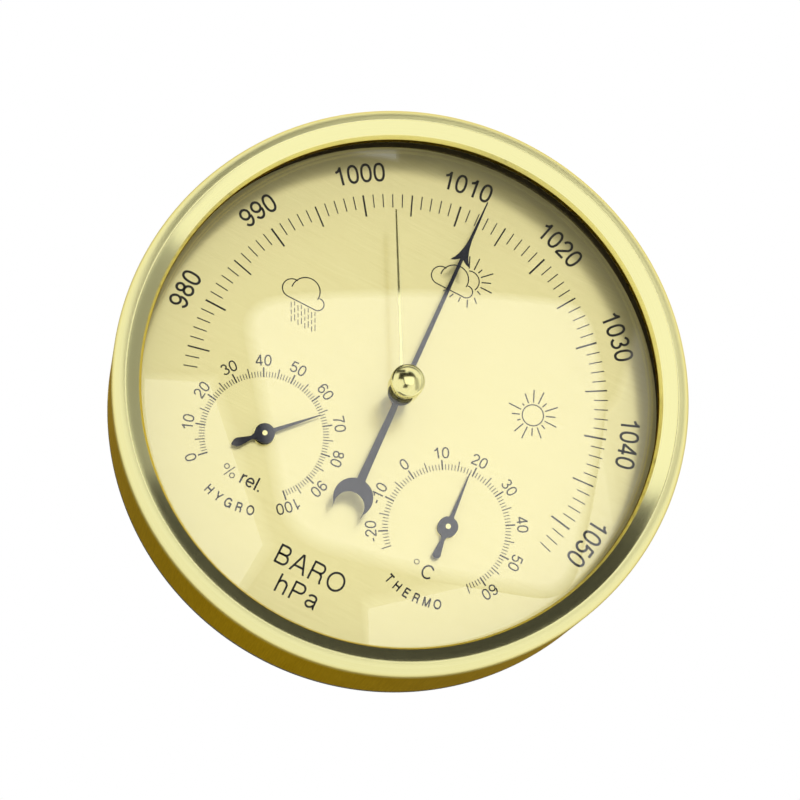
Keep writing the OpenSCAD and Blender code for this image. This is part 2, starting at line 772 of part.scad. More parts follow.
// Slotted screw reached through the hole in the back
module adjust_screw() {
    color([0.85, 0.75, 0.42]) from_dial() translate([0, capsule_y, 0]) difference() {
        union() {
            disc(adjust_head_d / 2, wall_z + 0.5, base_z - wall_z - 0.6);
            disc(adjust_d / 2, base_z - 0.2, leaf_z - base_z + 0.15);
        }
        translate([-adjust_head_d, -0.4, wall_z - 0.5]) cube([2 * adjust_head_d, 0.8, 2]);
    }
}

// Involute teeth: half the angle that a tooth spans at radius r
function inv_deg(a) = tan(a) * 180 / PI - a;
function tooth_half(r, pitch_r) = let (base_r = pitch_r * cos(pressure),
    thick = PI * module_mm / 2 - tooth_gap)
    thick / (2 * pitch_r) * 180 / PI + inv_deg(pressure) - inv_deg(acos(min(1, base_r / r)));
function tooth_flank(pitch_r, root_r, tip_r, n) = let (base_r = pitch_r * cos(pressure),
    from_r = max(root_r, base_r))
    concat(root_r < base_r ? [[root_r, tooth_half(base_r, pitch_r)]] : [],
        [for (i = [0:n]) let (r = from_r + (tip_r - from_r) * i / n) [r, tooth_half(r, pitch_r)]]);
function tooth_at(mid, flank) = concat(
    [for (p = flank) [p[0] * cos(mid - p[1]), p[0] * sin(mid - p[1])]],
    [for (i = [len(flank) - 1:-1:0]) let (p = flank[i]) [p[0] * cos(mid + p[1]), p[0] * sin(mid + p[1])]]);

module pinion_outline() {
    flank = tooth_flank(pinion_r, pinion_r - (sector_add + root_gap) * module_mm,
        pinion_r + pinion_add * module_mm, 4);
    step = 360 / pinion_teeth;
    polygon([for (k = [0:pinion_teeth - 1]) each tooth_at((k + 0.5) * step, flank)]);
}

module sector_rim() {
    root = sector_r - (pinion_add + root_gap) * module_mm;
    flank = tooth_flank(sector_r, root, sector_r + sector_add * module_mm, 4);
    step = 360 / sector_teeth;
    half = (sector_half_teeth + 0.5) * step;
    polygon(concat(
        [for (k = [-sector_half_teeth:sector_half_teeth]) each tooth_at(k * step, flank)],
        arc(0, 0, root - 2, half, -half, 16)));
}

// Toothed quadrant with two spokes, a tail with the driven pin, and a round weight
module sector_gear() {
    inner = sector_r - 2.2;
    spoke = 13;
    color([0.85, 0.75, 0.42]) from_dial() translate([sector_x, 0, 0]) rotate([0, 0, sector_deg]) {
        difference() {
            translate([0, 0, sector_z]) linear_extrude(sector_t) {
                sector_rim();
                for (a = [-spoke, spoke]) strap([0, 0], [inner * cos(a), inner * sin(a)], 1.6);
                circle(r = 2.6);
                strap([0, 0], [-tail_pin_r - 3, 0], 1.8);
                translate([-tail_pin_r - 3, 0]) circle(r = 1.9);
            }
            disc(arbor_d / 2 + seat_fit, sector_z - 1, sector_t + 2);
        }
        translate([-tail_pin_r, 0, 0]) disc(tail_pin_d / 2, ball_z - ball_r, sector_z - ball_z + ball_r + e);
    }
}

module sector_arbor() {
    color("lightsteelblue") from_dial() translate([sector_x, 0, 0]) {
        disc(pivot_d / 2, low_z + 0.1, high_top - low_z - 0.2);
        disc(arbor_d / 2, low_top + 0.1, high_z - low_top - 0.2);
        disc(2, sector_z - 0.6, 0.6);
    }
}

// Arbor with the pinion cut on it, running from the lower bridge to the pointer
module pointer_arbor() {
    color("lightsteelblue") from_dial() rotate([0, 0, pointer_deg]) {
        disc(pivot_d / 2, low_z + 0.1, bridge_t + 0.2);
        disc(arbor_d / 2, low_top + 0.1, arbor_top - low_top - 0.1);
        translate([0, 0, pinion_z]) linear_extrude(pinion_h) pinion_outline();
    }
}

module hair_collet() {
    color([0.85, 0.75, 0.42]) from_dial() ring(collet_r, arbor_d / 2 + seat_fit, collet_z, collet_h);
}

// Flat spiral strip between two radii, its outer end at angle 0
module spiral(r_in, r_out, t, turns) {
    n = 30 * turns;
    function edge(i, side) = let (r = r_in + (r_out - r_in) * i / n + side * t / 2,
        a = 360 * turns * (i - n) / n) [r * cos(a), r * sin(a)];
    polygon(concat([for (i = [0:n]) edge(i, 1)], [for (i = [n:-1:0]) edge(i, -1)]));
}

module hairspring() {
    color("steelblue") from_dial() rotate([0, 0, hair_angle]) translate([0, 0, hair_z])
        linear_extrude(hair_h) spiral(hair_in_r, hair_out_r, hair_t, hair_turns);
}

module hair_stud() {
    color([0.85, 0.75, 0.42]) from_dial() rotate([0, 0, hair_angle]) translate([stud_post_r, 0, 0])
        disc(stud_post_d / 2, hair_z, high_z - hair_z);
}

module pointer_collet() {
    color([0.85, 0.75, 0.42]) from_dial() ring(pointer_collet_r, arbor_d / 2 + seat_fit,
        pointer_lift - pointer_collet_h, pointer_collet_h);
}

// Blued hand with a barbed arrow head and an open crescent at its tail
module main_pointer() {
    neck_r = barb_r + head_len;
    tail_r = crescent_r - crescent_d / 2 + tail_sink;
    color([0.15, 0.16, 0.2]) from_dial() rotate([0, 0, pointer_deg]) difference() {
        union() {
            translate([0, 0, pointer_lift]) linear_extrude(pointer_t) {
                polygon([[-pointer_root_w / 2, 0], [-pointer_neck_w / 2, barb_r + barb_notch],
                    [-barb_w / 2, barb_r], [-head_mid_w / 2, barb_r + head_mid],
                    [-pointer_neck_w / 2, neck_r], [-pointer_tip_w / 2, pointer_tip_r],
                    [pointer_tip_w / 2, pointer_tip_r], [pointer_neck_w / 2, neck_r],
                    [head_mid_w / 2, barb_r + head_mid], [barb_w / 2, barb_r],
                    [pointer_neck_w / 2, barb_r + barb_notch], [pointer_root_w / 2, 0]]);
                circle(r = pointer_hub_r);
                polygon([[-tail_root_w / 2, 0], [-tail_w / 2, -tail_r], [tail_w / 2, -tail_r],
                    [tail_root_w / 2, 0]]);
                difference() {
                    translate([0, -crescent_r]) circle(d = crescent_d);
                    translate([0, -crescent_r - crescent_shift]) circle(r = crescent_d / 2 - crescent_bite);
                }
            }
            disc(pointer_boss_r, pointer_lift, pointer_t + pointer_boss_h);
        }
        disc(arbor_d / 2 + seat_fit, pointer_lift - 1, 4);
    }
}

// Bush through the glass, flanged outside
module glass_bush() {
    color([0.85, 0.75, 0.42]) from_dial() difference() {
        union() {
            disc(bush_flange_r, glass_rise, bush_flange_h);
            disc(bush_r, bush_low, glass_rise - bush_low + e);
        }
        disc(set_arbor_d / 2 + run_fit, bush_low - 1, 10);
    }
}

module bush_nut() {
    color([0.85, 0.75, 0.42]) from_dial() difference() {
        translate([0, 0, glass_in_z - bush_nut_h - bush_head_sag])
            cylinder(r = bush_nut_r, h = bush_nut_h, $fn = 6);
        disc(bush_r + seat_fit, glass_in_z - bush_nut_h - 1, bush_nut_h + 2);
    }
}

module friction_washer() {
    color("silver") from_dial()
        ring(washer_r, set_arbor_d / 2 + seat_fit, bush_low - 0.1 - washer_t, washer_t);
}

module set_arbor() {
    color([0.85, 0.75, 0.42]) from_dial() {
        disc(set_arbor_d / 2, set_lift - 0.1, knob_z + knob_socket - set_lift);
        disc(set_rivet_r, set_lift - set_rivet_h, set_rivet_h);
        disc(set_shoulder_r, set_lift + set_t, bush_low - 0.1 - washer_t - set_lift - set_t);
    }
}

module set_hand() {
    color([0.9, 0.8, 0.45]) from_dial() rotate([0, 0, set_deg]) difference() {
        union() {
            disc(set_hub_r, set_lift, set_t);
            translate([0, 0, set_lift]) linear_extrude(set_t)
                polygon([[-set_root_w / 2, 0], [-set_point_w / 2, set_tip_r],
                    [set_point_w / 2, set_tip_r], [set_root_w / 2, 0]]);
        }
        disc(set_arbor_d / 2 + seat_fit, set_lift - 1, 3);
    }
}

// Turned knob with a fluted edge and a low domed face
module set_knob() {
    r = knob_d / 2;
    dome_edge = knob_h - knob_dome;
    cap_r = (pow(r - 0.3, 2) + pow(knob_dome, 2)) / (2 * knob_dome);
    color([0.9, 0.8, 0.45]) from_dial() rotate([0, 0, set_deg]) difference() {
        union() {
            disc(r - 0.5, knob_z, 0.5);
            disc(r, knob_z + 0.4, dome_edge - 0.4);
            intersection() {
                translate([0, 0, knob_z + knob_h - cap_r]) sphere(r = cap_r);
                disc(r - 0.3, knob_z + dome_edge - e, knob_dome + 1);
            }
        }
        disc(set_arbor_d / 2 + seat_fit, knob_z - 1, knob_socket + 1);
        for (i = [0:knob_flutes - 1]) rotate([0, 0, i * 360 / knob_flutes])
            translate([r + 0.05, 0, 0]) cylinder(r = knob_flute_r, h = 3 * glass_rise, $fn = 16);
    }
}

// Small instrument pieces, each around its own pivot
module small_bush() {
    difference() {
        union() {
            disc(small_flange_r, 0, small_flange_h);
            disc(small_bush_r, small_bush_low, -small_bush_low + e);
        }
        disc(small_arbor_d / 2 + run_fit, small_bush_low - 1, 10);
    }
}

module small_nut() {
    difference() {
        translate([0, 0, small_nut_z]) cylinder(r = small_nut_r, h = small_nut_h, $fn = 6);
        disc(small_bush_r + seat_fit, small_nut_z - 1, small_nut_h + 2);
    }
}

module coil_cup() {
    difference() {
        disc(coil_cup_d / 2, -dial_t - coil_cup_h, coil_cup_h);
        disc(coil_cup_d / 2 - coil_wall, -dial_t - coil_cup_h - 1, coil_cup_h + 1 - coil_floor_t);
        disc(small_bush_r + seat_fit, -dial_t - coil_cup_h - 1, coil_cup_h + 2);
    }
}

module coil_strip() {
    translate([0, 0, coil_low]) linear_extrude(coil_strip_h)
        spiral(coil_in_r, coil_out_r, coil_t, coil_turns);
}

module small_arbor() {
    disc(small_arbor_d / 2, coil_low, needle_lift + needle_t + 0.2 - coil_low);
    disc(coil_collet_r, coil_low, coil_collet_z - coil_low);
}

// Needle along +y; blunt tails are round, the others end in a point
module needle(blunt) {
    neck_y = -needle_hub_d / 2 - neck_len;
    difference() {
        union() {
            disc(needle_hub_d / 2, needle_lift, needle_t);
            translate([0, 0, needle_lift]) linear_extrude(needle_t)
                polygon([[-needle_root_w / 2, 0], [-needle_point_w / 2, needle_tip_r],
                    [needle_point_w / 2, needle_tip_r], [needle_root_w / 2, 0]]);
            translate([0, 0, needle_lift]) linear_extrude(needle_t)
                polygon([[-neck_root_w / 2, 0], [-neck_w / 2, neck_y],
                    [-spade_w / 2, spade_len - needle_tail_r], [-spade_end_w / 2, spade_end - needle_tail_r],
                    [-spade_tip_w / 2, -needle_tail_r], [spade_tip_w / 2, -needle_tail_r],
                    [spade_end_w / 2, spade_end - needle_tail_r], [spade_w / 2, spade_len - needle_tail_r],
                    [neck_w / 2, neck_y], [neck_root_w / 2, 0]]);
            if (blunt) translate([0, 0.95 - needle_tail_r, 0]) disc(0.95, needle_lift, needle_t);
        }
        disc(small_arbor_d / 2 + seat_fit, needle_lift - 1, 3);
    }
}

module at_thermo() {
    from_dial() translate([sub_x, -sub_y, 0]) children();
}

module at_hygro() {
    from_dial() translate([-sub_x, -sub_y, 0]) children();
}

module thermo_bush() { color([0.85, 0.75, 0.42]) at_thermo() small_bush(); }
module thermo_nut() { color([0.85, 0.75, 0.42]) at_thermo() small_nut(); }
module thermo_cup() { color("silver") at_thermo() coil_cup(); }
module thermo_coil() { color([0.6, 0.55, 0.5]) at_thermo() coil_strip(); }
module thermo_arbor() { color([0.85, 0.75, 0.42]) at_thermo() small_arbor(); }
module thermo_needle() { color([0.15, 0.16, 0.2]) at_thermo() rotate([0, 0, thermo_deg]) needle(true); }
module hygro_bush() { color([0.85, 0.75, 0.42]) at_hygro() small_bush(); }
module hygro_nut() { color([0.85, 0.75, 0.42]) at_hygro() small_nut(); }
module hygro_cup() { color("silver") at_hygro() coil_cup(); }
module hygro_coil() { color([0.7, 0.6, 0.45]) at_hygro() coil_strip(); }
module hygro_arbor() { color([0.85, 0.75, 0.42]) at_hygro() small_arbor(); }
module hygro_needle() { color([0.15, 0.16, 0.2]) at_hygro() rotate([0, 0, hygro_deg]) needle(false); }

case_shell();
case_screws();
glass();
glass_gasket();
spacer_ring();
dial_plate();
rear_cover();
hanger_plate();
hanger_screws();
base_plate();
base_screws();
long_pillars();
lower_bridge();
short_pillars();
upper_bridge();
frame_screws();
rock_brackets();
bracket_screws();
rock_shaft();
leaf_block();
carrier_leaf();
leaf_screws();
capsule_lower();
capsule_upper();
capsule_stud();
adjust_screw();
sector_gear();
sector_arbor();
pointer_arbor();
hair_collet();
hairspring();
hair_stud();
pointer_collet();
main_pointer();
glass_bush();
bush_nut();
friction_washer();
set_arbor();
set_hand();
set_knob();
thermo_bush();
thermo_nut();
thermo_cup();
thermo_coil();
thermo_arbor();
thermo_needle();
hygro_bush();
hygro_nut();
hygro_cup();
hygro_coil();
hygro_arbor();
hygro_needle();
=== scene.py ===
import math

import bmesh
import bpy
from mathutils import Matrix, Vector


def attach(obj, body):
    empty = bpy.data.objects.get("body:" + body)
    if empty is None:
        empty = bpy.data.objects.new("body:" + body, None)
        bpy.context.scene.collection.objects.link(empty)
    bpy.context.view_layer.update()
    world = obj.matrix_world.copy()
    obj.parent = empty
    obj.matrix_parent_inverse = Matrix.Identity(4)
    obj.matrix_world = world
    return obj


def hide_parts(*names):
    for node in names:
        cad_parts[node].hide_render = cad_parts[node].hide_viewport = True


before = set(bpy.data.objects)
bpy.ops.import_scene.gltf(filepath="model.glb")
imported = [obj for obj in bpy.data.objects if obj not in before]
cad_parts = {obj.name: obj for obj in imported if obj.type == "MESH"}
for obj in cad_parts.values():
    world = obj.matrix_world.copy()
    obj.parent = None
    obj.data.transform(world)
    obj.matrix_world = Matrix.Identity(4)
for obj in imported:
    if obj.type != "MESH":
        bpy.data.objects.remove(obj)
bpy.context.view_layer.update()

# Rear cover: a cup of black moulded plastic with a flange behind the case and a collar inside it.
# Air slots, the keyhole's pocket and the hole over the adjusting screw go through its back.
# Pieces are drawn in millimetres on the dial's axes: x right, y up, z from the dial face outwards.
MM = 0.001
WALL_BEHIND_DIAL = 24.0
from_dial = Matrix(((MM, 0, 0, 0), (0, 0, -MM, -WALL_BEHIND_DIAL * MM), (0, MM, 0, 0), (0, 0, 0, 1)))


def wire(tree, node, inputs):
    """Each input set to a value, or wired to a socket or to a node's first output."""
    for name, value in inputs.items():
        if isinstance(value, bpy.types.Node):
            value = value.outputs[0]
        if isinstance(value, bpy.types.NodeSocket):
            tree.links.new(value, node.inputs[name])
        else:
            node.inputs[name].default_value = value


def add_node(tree, kind, inputs=None, **settings):
    """A node with its settings and its inputs."""
    node = tree.nodes.new(kind)
    for name, value in settings.items():
        setattr(node, name, value)
    wire(tree, node, inputs or {})
    return node


def node_group(name, kind, inputs, outputs):
    """A node group with its sockets: the tree, the sockets that come in and those that go out."""
    tree = bpy.data.node_groups.new(name, kind)
    for socket, socket_type, default in inputs:
        made = tree.interface.new_socket(socket, in_out="INPUT", socket_type=socket_type)
        if default is not None:
            made.default_value = default
    for socket, socket_type in outputs:
        tree.interface.new_socket(socket, in_out="OUTPUT", socket_type=socket_type)
    return tree, tree.nodes.new("NodeGroupInput").outputs, tree.nodes.new("NodeGroupOutput").inputs


def in_scene(name, data):
    made = bpy.data.objects.new(name, data)
    bpy.context.scene.collection.objects.link(made)
    return made


def mesh_of(bm):
    mesh = bpy.data.meshes.new("mesh")
    bm.to_mesh(mesh)
    bm.free()
    return mesh


def result_of(piece):
    """The plain mesh that an object with a modifier, or a curve, comes to."""
    bpy.context.view_layer.update()
    return bpy.data.meshes.new_from_object(piece.evaluated_get(bpy.context.evaluated_depsgraph_get()))


def place_piece(name, mesh, material, body, slot, *nodes):
    """The finished piece on its body, with the solids that it stands for hidden. Its slot is not used."""
    mesh.name = name
    mesh.materials.clear()
    mesh.materials.append(material)
    piece = in_scene(name, mesh)
    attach(piece, body)
    if nodes:
        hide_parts(*nodes)


def arc(cx, cy, r, start, end, steps):
    """Points of an arc in degrees, with the centre and radius in millimetres."""
    turn = [math.radians(start + (end - start) * i / steps) for i in range(steps + 1)]
    return [(cx + r * math.cos(a), cy + r * math.sin(a)) for a in turn]


def turned(profile, steps=192, radius_at=None):
    """Mesh in millimetres: a closed profile of (radius, height) points spun round the dial's axis.
    Its UV map runs round the piece and along the profile."""
    bm = bmesh.new()
    uv = bm.loops.layers.uv.new("lay")
    wave = radius_at or (lambda r, z, turn: r)
    rings = []
    for r, z in profile:
        count = 1 if r < 1e-6 else steps
        turns = [2 * math.pi * j / steps for j in range(count)]
        reaches = [(wave(r, z, a), a) for a in turns]
        rings.append([bm.verts.new((reach * math.sin(a), reach * math.cos(a), z)) for reach, a in reaches])
    along = [0.0]
    for (r0, z0), (r1, z1) in zip(profile, profile[1:] + profile[:1]):
        along.append(along[-1] + math.hypot(r1 - r0, z1 - z0))
    widest = 2 * math.pi * max(r for r, z in profile)
    for i, low in enumerate(rings):
        high = rings[(i + 1) % len(rings)]
        if len(low) == 1 and len(high) == 1:
            continue
        for j in range(steps):
            corners = [(low[j % len(low)], j, i), (low[(j + 1) % len(low)], j + 1, i),
                       (high[(j + 1) % len(high)], j + 1, i + 1), (high[j % len(high)], j, i + 1)]
            if len(low) == 1:
                corners.pop(1)
            elif len(high) == 1:
                corners.pop(3)
            face = bm.faces.new([c[0] for c in corners])
            for loop, (_, step, place) in zip(face.loops, corners):
                loop[uv].uv = (widest * step / steps, along[place])
    bmesh.ops.recalc_face_normals(bm, faces=bm.faces)
    return mesh_of(bm)


def stamped(outlines, low, high, edge=0.04, rounds=2):
    """Mesh in millimetres: a flat piece between two heights with holes and slightly rounded edges.
    The first outline is the outer one, and the rest are holes."""
    curve = bpy.data.curves.new("outline", "CURVE")
    curve.dimensions = "2D"
    curve.fill_mode = "BOTH"
    curve.extrude = (high - low) / 2 - edge
    curve.bevel_depth = edge
    curve.bevel_resolution = rounds
    curve.offset = -edge
    for outline in outlines:
        spline = curve.splines.new("POLY")
        spline.points.add(len(outline) - 1)
        spline.use_cyclic_u = True
        for point, (x, y) in zip(spline.points, outline):
            point.co = (x, y, 0, 1)
    flat = in_scene("outline", curve)
    mesh = result_of(flat)
    bpy.data.objects.remove(flat)
    bpy.data.curves.remove(curve)
    mesh.transform(Matrix.Translation((0, 0, (low + high) / 2)))
    bm = bmesh.new()
    bm.from_mesh(mesh)
    bmesh.ops.remove_doubles(bm, verts=bm.verts, dist=2e-4)
    bmesh.ops.recalc_face_normals(bm, faces=bm.faces)
    return mesh_of(bm)


def moved(mesh, x=0.0, y=0.0, turn=0.0):
    mesh.transform(Matrix.Translation((x, y, 0)) @ Matrix.Rotation(math.radians(turn), 4, "Z"))
    return mesh


def joined(*meshes):
    """One mesh of several that don't touch."""
    bm = bmesh.new()
    for mesh in meshes:
        bm.from_mesh(mesh)
    return mesh_of(bm)


def cut(mesh, tool, keep="DIFFERENCE"):
    """The mesh with another one cut from it or added to it."""
    base = in_scene("base", mesh)
    other = in_scene("other", tool)
    knife = base.modifiers.new("knife", "BOOLEAN")
    knife.operation = keep
    knife.solver = "EXACT"
    knife.object = other
    whole = result_of(base)
    bpy.data.objects.remove(base)
    bpy.data.objects.remove(other)
    return whole


def finished(mesh, degrees=35):
    """The mesh in metres in the object's frame, smooth but for its edges and its level faces."""
    mesh.transform(from_dial)
    mesh.set_sharp_from_angle(angle=math.radians(degrees))
    for face in mesh.polygons:
        face.use_smooth = abs(face.normal.y) < 0.999999
    return mesh


def box_outline(x0, y0, x1, y1, r):
    """A rectangle with round corners."""
    return (arc(x1 - r, y0 + r, r, -90, 0, 6) + arc(x1 - r, y1 - r, r, 0, 90, 6)
            + arc(x0 + r, y1 - r, r, 90, 180, 6) + arc(x0 + r, y0 + r, r, 180, 270, 6))


def circle(x, y, r, steps=64):
    return arc(x, y, r, 0, 360 - 360 / steps, steps - 1)


def mixed(tree, share, low, high, kind="FLOAT"):
    """The low value where the share is 0 and the high one where it is 1; with RGBA, two colours."""
    return add_node(tree, "ShaderNodeMix", {"Factor": share, "A": low, "B": high},
                    data_type=kind).outputs["Result"]


def grain_group():
    """Fine lines or fibres: noise stretched along one axis, at two scales."""
    tree, given, out = node_group("fine_grain", "ShaderNodeTree", [
        ("Vector", "NodeSocketVector", None), ("Stretch", "NodeSocketVector", (1, 1, 1)),
        ("Fineness", "NodeSocketFloat", 4.0), ("Breakup", "NodeSocketFloat", 0.35)],
        [("Lines", "NodeSocketFloat"), ("Clouds", "NodeSocketFloat")])
    drawn = add_node(tree, "ShaderNodeVectorMath", {0: given["Vector"], 1: given["Stretch"]},
                     operation="MULTIPLY")
    fine = add_node(tree, "ShaderNodeTexNoise", {
        "Vector": drawn, "Scale": given["Fineness"], "Detail": 3.0, "Roughness": 0.65})
    broad = add_node(tree, "ShaderNodeTexNoise", {"Vector": given["Vector"], "Scale": 0.09, "Detail": 2.0})
    tree.links.new(mixed(tree, given["Breakup"], fine, broad), out["Lines"])
    tree.links.new(broad.outputs[0], out["Clouds"])
    return tree


fine_grain = grain_group()


def material_start(name, **fixed):
    """A material with its Principled shader, constants set, and the object's own millimetres."""
    made = bpy.data.materials.new(name)
    made.use_nodes = True
    tree = made.node_tree
    shader = tree.nodes["Principled BSDF"]
    for socket, value in fixed.items():
        shader.inputs[socket.replace("_", " ")].default_value = value
    where = add_node(tree, "ShaderNodeTexCoord").outputs["Object"]
    in_mm = add_node(tree, "ShaderNodeVectorMath", {0: where, "Scale": 1 / MM}, operation="SCALE")
    return made, tree, shader, in_mm.outputs[0]


def grained(tree, vector, stretch, fineness, breakup=0.35):
    return add_node(tree, "ShaderNodeGroup", node_tree=fine_grain, inputs={
        "Vector": vector, "Stretch": stretch, "Fineness": fineness, "Breakup": breakup})


def between(tree, mask, low, high):
    """A value or a colour that the grain blends from low to high."""
    spread = add_node(tree, "ShaderNodeMapRange", {"Value": mask, "From Min": 0.3, "From Max": 0.7})
    if isinstance(low, (int, float)):
        wire(tree, spread, {"To Min": low, "To Max": high})
        return spread.outputs[0]
    return mixed(tree, spread, (*low, 1), (*high, 1), "RGBA")


def bumped(tree, shader, height, distance_mm):
    bump = add_node(tree, "ShaderNodeBump", {
        "Height": height, "Distance": distance_mm * MM, "Strength": 1.0})
    wire(tree, shader, {"Normal": bump})


def surface(name, colours, roughness, fineness, lay=(1, 1, 1), breakup=0.35, relief_mm=0.0,
            colour_by="Lines", rough_by="Clouds", **fixed):
    """A material whose grain sets its colour, its roughness and a very low relief."""
    made, tree, shader, mm = material_start(name, **fixed)
    grain = grained(tree, mm, lay, fineness, breakup)
    wire(tree, shader, {"Base Color": between(tree, grain.outputs[colour_by], *colours),
                        "Roughness": between(tree, grain.outputs[rough_by], *roughness)})
    if relief_mm:
        bumped(tree, shader, grain.outputs["Lines"], relief_mm)
    return made


CASE_R = 66.0
SIDE_BACK = -10.9
CUP_R = 58.0
CUP_IN = 56.2
COLLAR_R = 64.7
COLLAR_IN = 62.2
FLANGE_BACK = -12.6
FLOOR_Z = -22.0
WALL_Z = -24.0
DIAL_T = 0.8
VENT_PITCH = 5.4
VENT_Y = -39.0
VENT_R = 1.0
VENT_LONG = 15
VENT_TAPER = 0.45
HANGER_BOX = (-12, 33, 12, 51)
POCKET_BOX = (-7.2, 33.6, 7.2, 51.3)
POCKET_ROOM = (-6, 34.8, 6, 50.1)
POCKET_TOP = -16.3
KEY_Y = 40.0
KEY_SCREW_X = 9.4
CAPSULE_Y = -2.8
FOOT_RING_R = 25.2
FEET = [(FOOT_RING_R * math.cos(a), FOOT_RING_R * math.sin(a)) for a in map(math.radians, (60, 180, 300))]


def slot_outline(x, y, half, r):
    return arc(x, y + half, r, 0, 180, 12) + arc(x, y - half, r, 180, 360, 12)


def post(x, y, r, top):
    """A round boss on the cover's floor, with its top edge broken."""
    foot = FLOOR_Z - 0.5
    return moved(turned([(0, foot), (r, foot), (r, top - 0.1), (r - 0.1, top), (0, top)], 32), x, y)


def cutter(outline, low=WALL_Z - 1, high=FLOOR_Z + 1):
    """What goes out between two heights, right through the floor unless they are given."""
    return stamped([outline], low, high, 0.02, 1)


def cover_mesh():
    """The spun form, with its bosses and pocket, and the holes through its back."""
    inner_round = 0.9
    cup = turned([(0, WALL_Z)] + arc(CUP_R - 1.0, WALL_Z + 1.0, 1.0, -90, 0, 6)
                 + arc(CUP_R + 0.8, FLANGE_BACK - 0.8, 0.8, 180, 90, 5)
                 + arc(CASE_R - 0.3, FLANGE_BACK + 0.3, 0.3, -90, 0, 4)
                 + arc(CASE_R - 0.15, SIDE_BACK - 0.15, 0.15, 0, 90, 2)
                 + [(COLLAR_R, SIDE_BACK)] + arc(COLLAR_R - 0.3, -DIAL_T - 0.3, 0.3, 0, 90, 3)
                 + arc(COLLAR_IN + 0.2, -DIAL_T - 0.2, 0.2, 90, 180, 3)
                 + [(COLLAR_IN, SIDE_BACK)] + arc(CUP_IN + 0.2, SIDE_BACK - 0.2, 0.2, 90, 180, 2)
                 + arc(CUP_IN - inner_round, FLOOR_Z + inner_round, inner_round, 0, -90, 4)
                 + [(0, FLOOR_Z)], 256)
    pocket = stamped([box_outline(*POCKET_BOX, 0.8)], FLOOR_Z - 0.5, POCKET_TOP, 0.15)
    screw_places = [(side * KEY_SCREW_X, KEY_Y) for side in (-1, 1)]
    bosses = [post(x, y, 1.8, -18.4) for x, y in screw_places]
    feet = [post(x, y, 2.5, -20.4) for x, y in FEET]
    whole = cut(cup, joined(pocket, *bosses, *feet), "UNION")
    vents = []
    for x in [i * VENT_PITCH for i in range(-3, 4)]:
        half = (VENT_LONG - abs(x) * VENT_TAPER) / 2 - VENT_R
        vents.append(cutter(slot_outline(x, VENT_Y, half, VENT_R)))
    hole = cutter(circle(0, CAPSULE_Y, 2.3, 40))
    recess = cutter(box_outline(*HANGER_BOX, 0.6), high=WALL_Z + 1.0)
    room = stamped([box_outline(*POCKET_ROOM, 0.6)], WALL_Z + 0.9, POCKET_TOP - 1.2, 0.1, 1)
    pilots = [cutter(circle(x, y, 0.82, 24), WALL_Z, -19.4) for x, y in screw_places]
    seats = [cutter(circle(x, y, 0.92, 24), WALL_Z + 0.8, -20) for x, y in FEET]
    for tool in (joined(*vents, hole, recess), joined(room, *pilots, *seats)):
        whole = cut(whole, tool)
    return whole


black_plastic = surface("black_moulded_plastic", ((0.016, 0.016, 0.017), (0.03, 0.03, 0.031)), (0.42, 0.56),
                        2.2, breakup=0.1, relief_mm=0.05, Metallic=0.0, IOR=1.49)
place_piece("rear_cover_moulding", finished(cover_mesh(), 30), black_plastic, "case", "cover_plastic",
            "rear_cover")

# Hanger: a plated steel plate with a keyhole, set in the cover's back and held by two screws.
# The same plating is on the movement's screws, the slipping washer and the two coil cups.


def dress(material, *nodes):
    """A better finish for solids that keep their own shape."""
    for node in nodes:
        bpy.data.objects[node].data.materials[0] = material


zinc_steel = surface("zinc_plated_steel", ((0.5, 0.51, 0.5), (0.66, 0.67, 0.65)), (0.28, 0.42), 1.4,
                     relief_mm=0.01, Metallic=1.0)
dress(zinc_steel, "hanger_plate", "hanger_screws", "base_screws", "frame_screws", "bracket_screws",
      "leaf_screws", "friction_washer", "thermo_cup", "hygro_cup")

# Movement frame: stamped brass plates on turned pillars, with brass rocker brackets and steel screws.
# The plates are straight-grained and left bright; it stands on the cover's three feet.
plate_brass = surface("movement_brass", ((0.62, 0.47, 0.2), (0.78, 0.62, 0.3)), (0.24, 0.38), 4.0,
                      (0.06, 1, 1), 0.2, 0.006, rough_by="Lines", Metallic=1.0)
arbor_steel = surface("turned_steel", ((0.46, 0.46, 0.46), (0.62, 0.62, 0.61)), (0.18, 0.3), 6.0,
                      (1, 0.2, 1), 0.25, 0.003, Metallic=1.0)
dress(plate_brass, "base_plate", "long_pillars", "lower_bridge", "short_pillars", "upper_bridge",
      "rock_brackets", "leaf_block", "capsule_stud", "adjust_screw", "sector_gear", "hair_collet",
      "hair_stud", "pointer_collet", "thermo_nut", "hygro_nut")
dress(arbor_steel, "rock_shaft", "sector_arbor", "pointer_arbor")

# Capsule and lever: two corrugated shells of nickel silver, soldered at the rim and pumped out.
# A leaf of blued spring steel carries them, and the stud on top lifts the rocking shaft.
# The hairspring is of the same steel.
nickel_silver = surface("nickel_silver", ((0.56, 0.55, 0.5), (0.7, 0.69, 0.63)), (0.2, 0.34), 1.8,
                        relief_mm=0.008, Metallic=1.0)
blue_spring = surface("blue_spring_steel", ((0.16, 0.2, 0.36), (0.32, 0.34, 0.46)), (0.2, 0.32), 0.8,
                      colour_by="Clouds", rough_by="Lines", Metallic=1.0)
dress(nickel_silver, "capsule_lower", "capsule_upper")
dress(blue_spring, "carrier_leaf", "hairspring")

# Coils: a wound strip of two metals turns one needle with warmth, and a film on a strip turns the other
# with damp. Each sits in a pressed cup behind the dial, its outer end hooked to the cup.


def coil_strip(name, colours, roughness):
    return surface(name, colours, roughness, 3.5, (1, 0.15, 1), 0.2, 0.004, rough_by="Lines", Metallic=1.0)


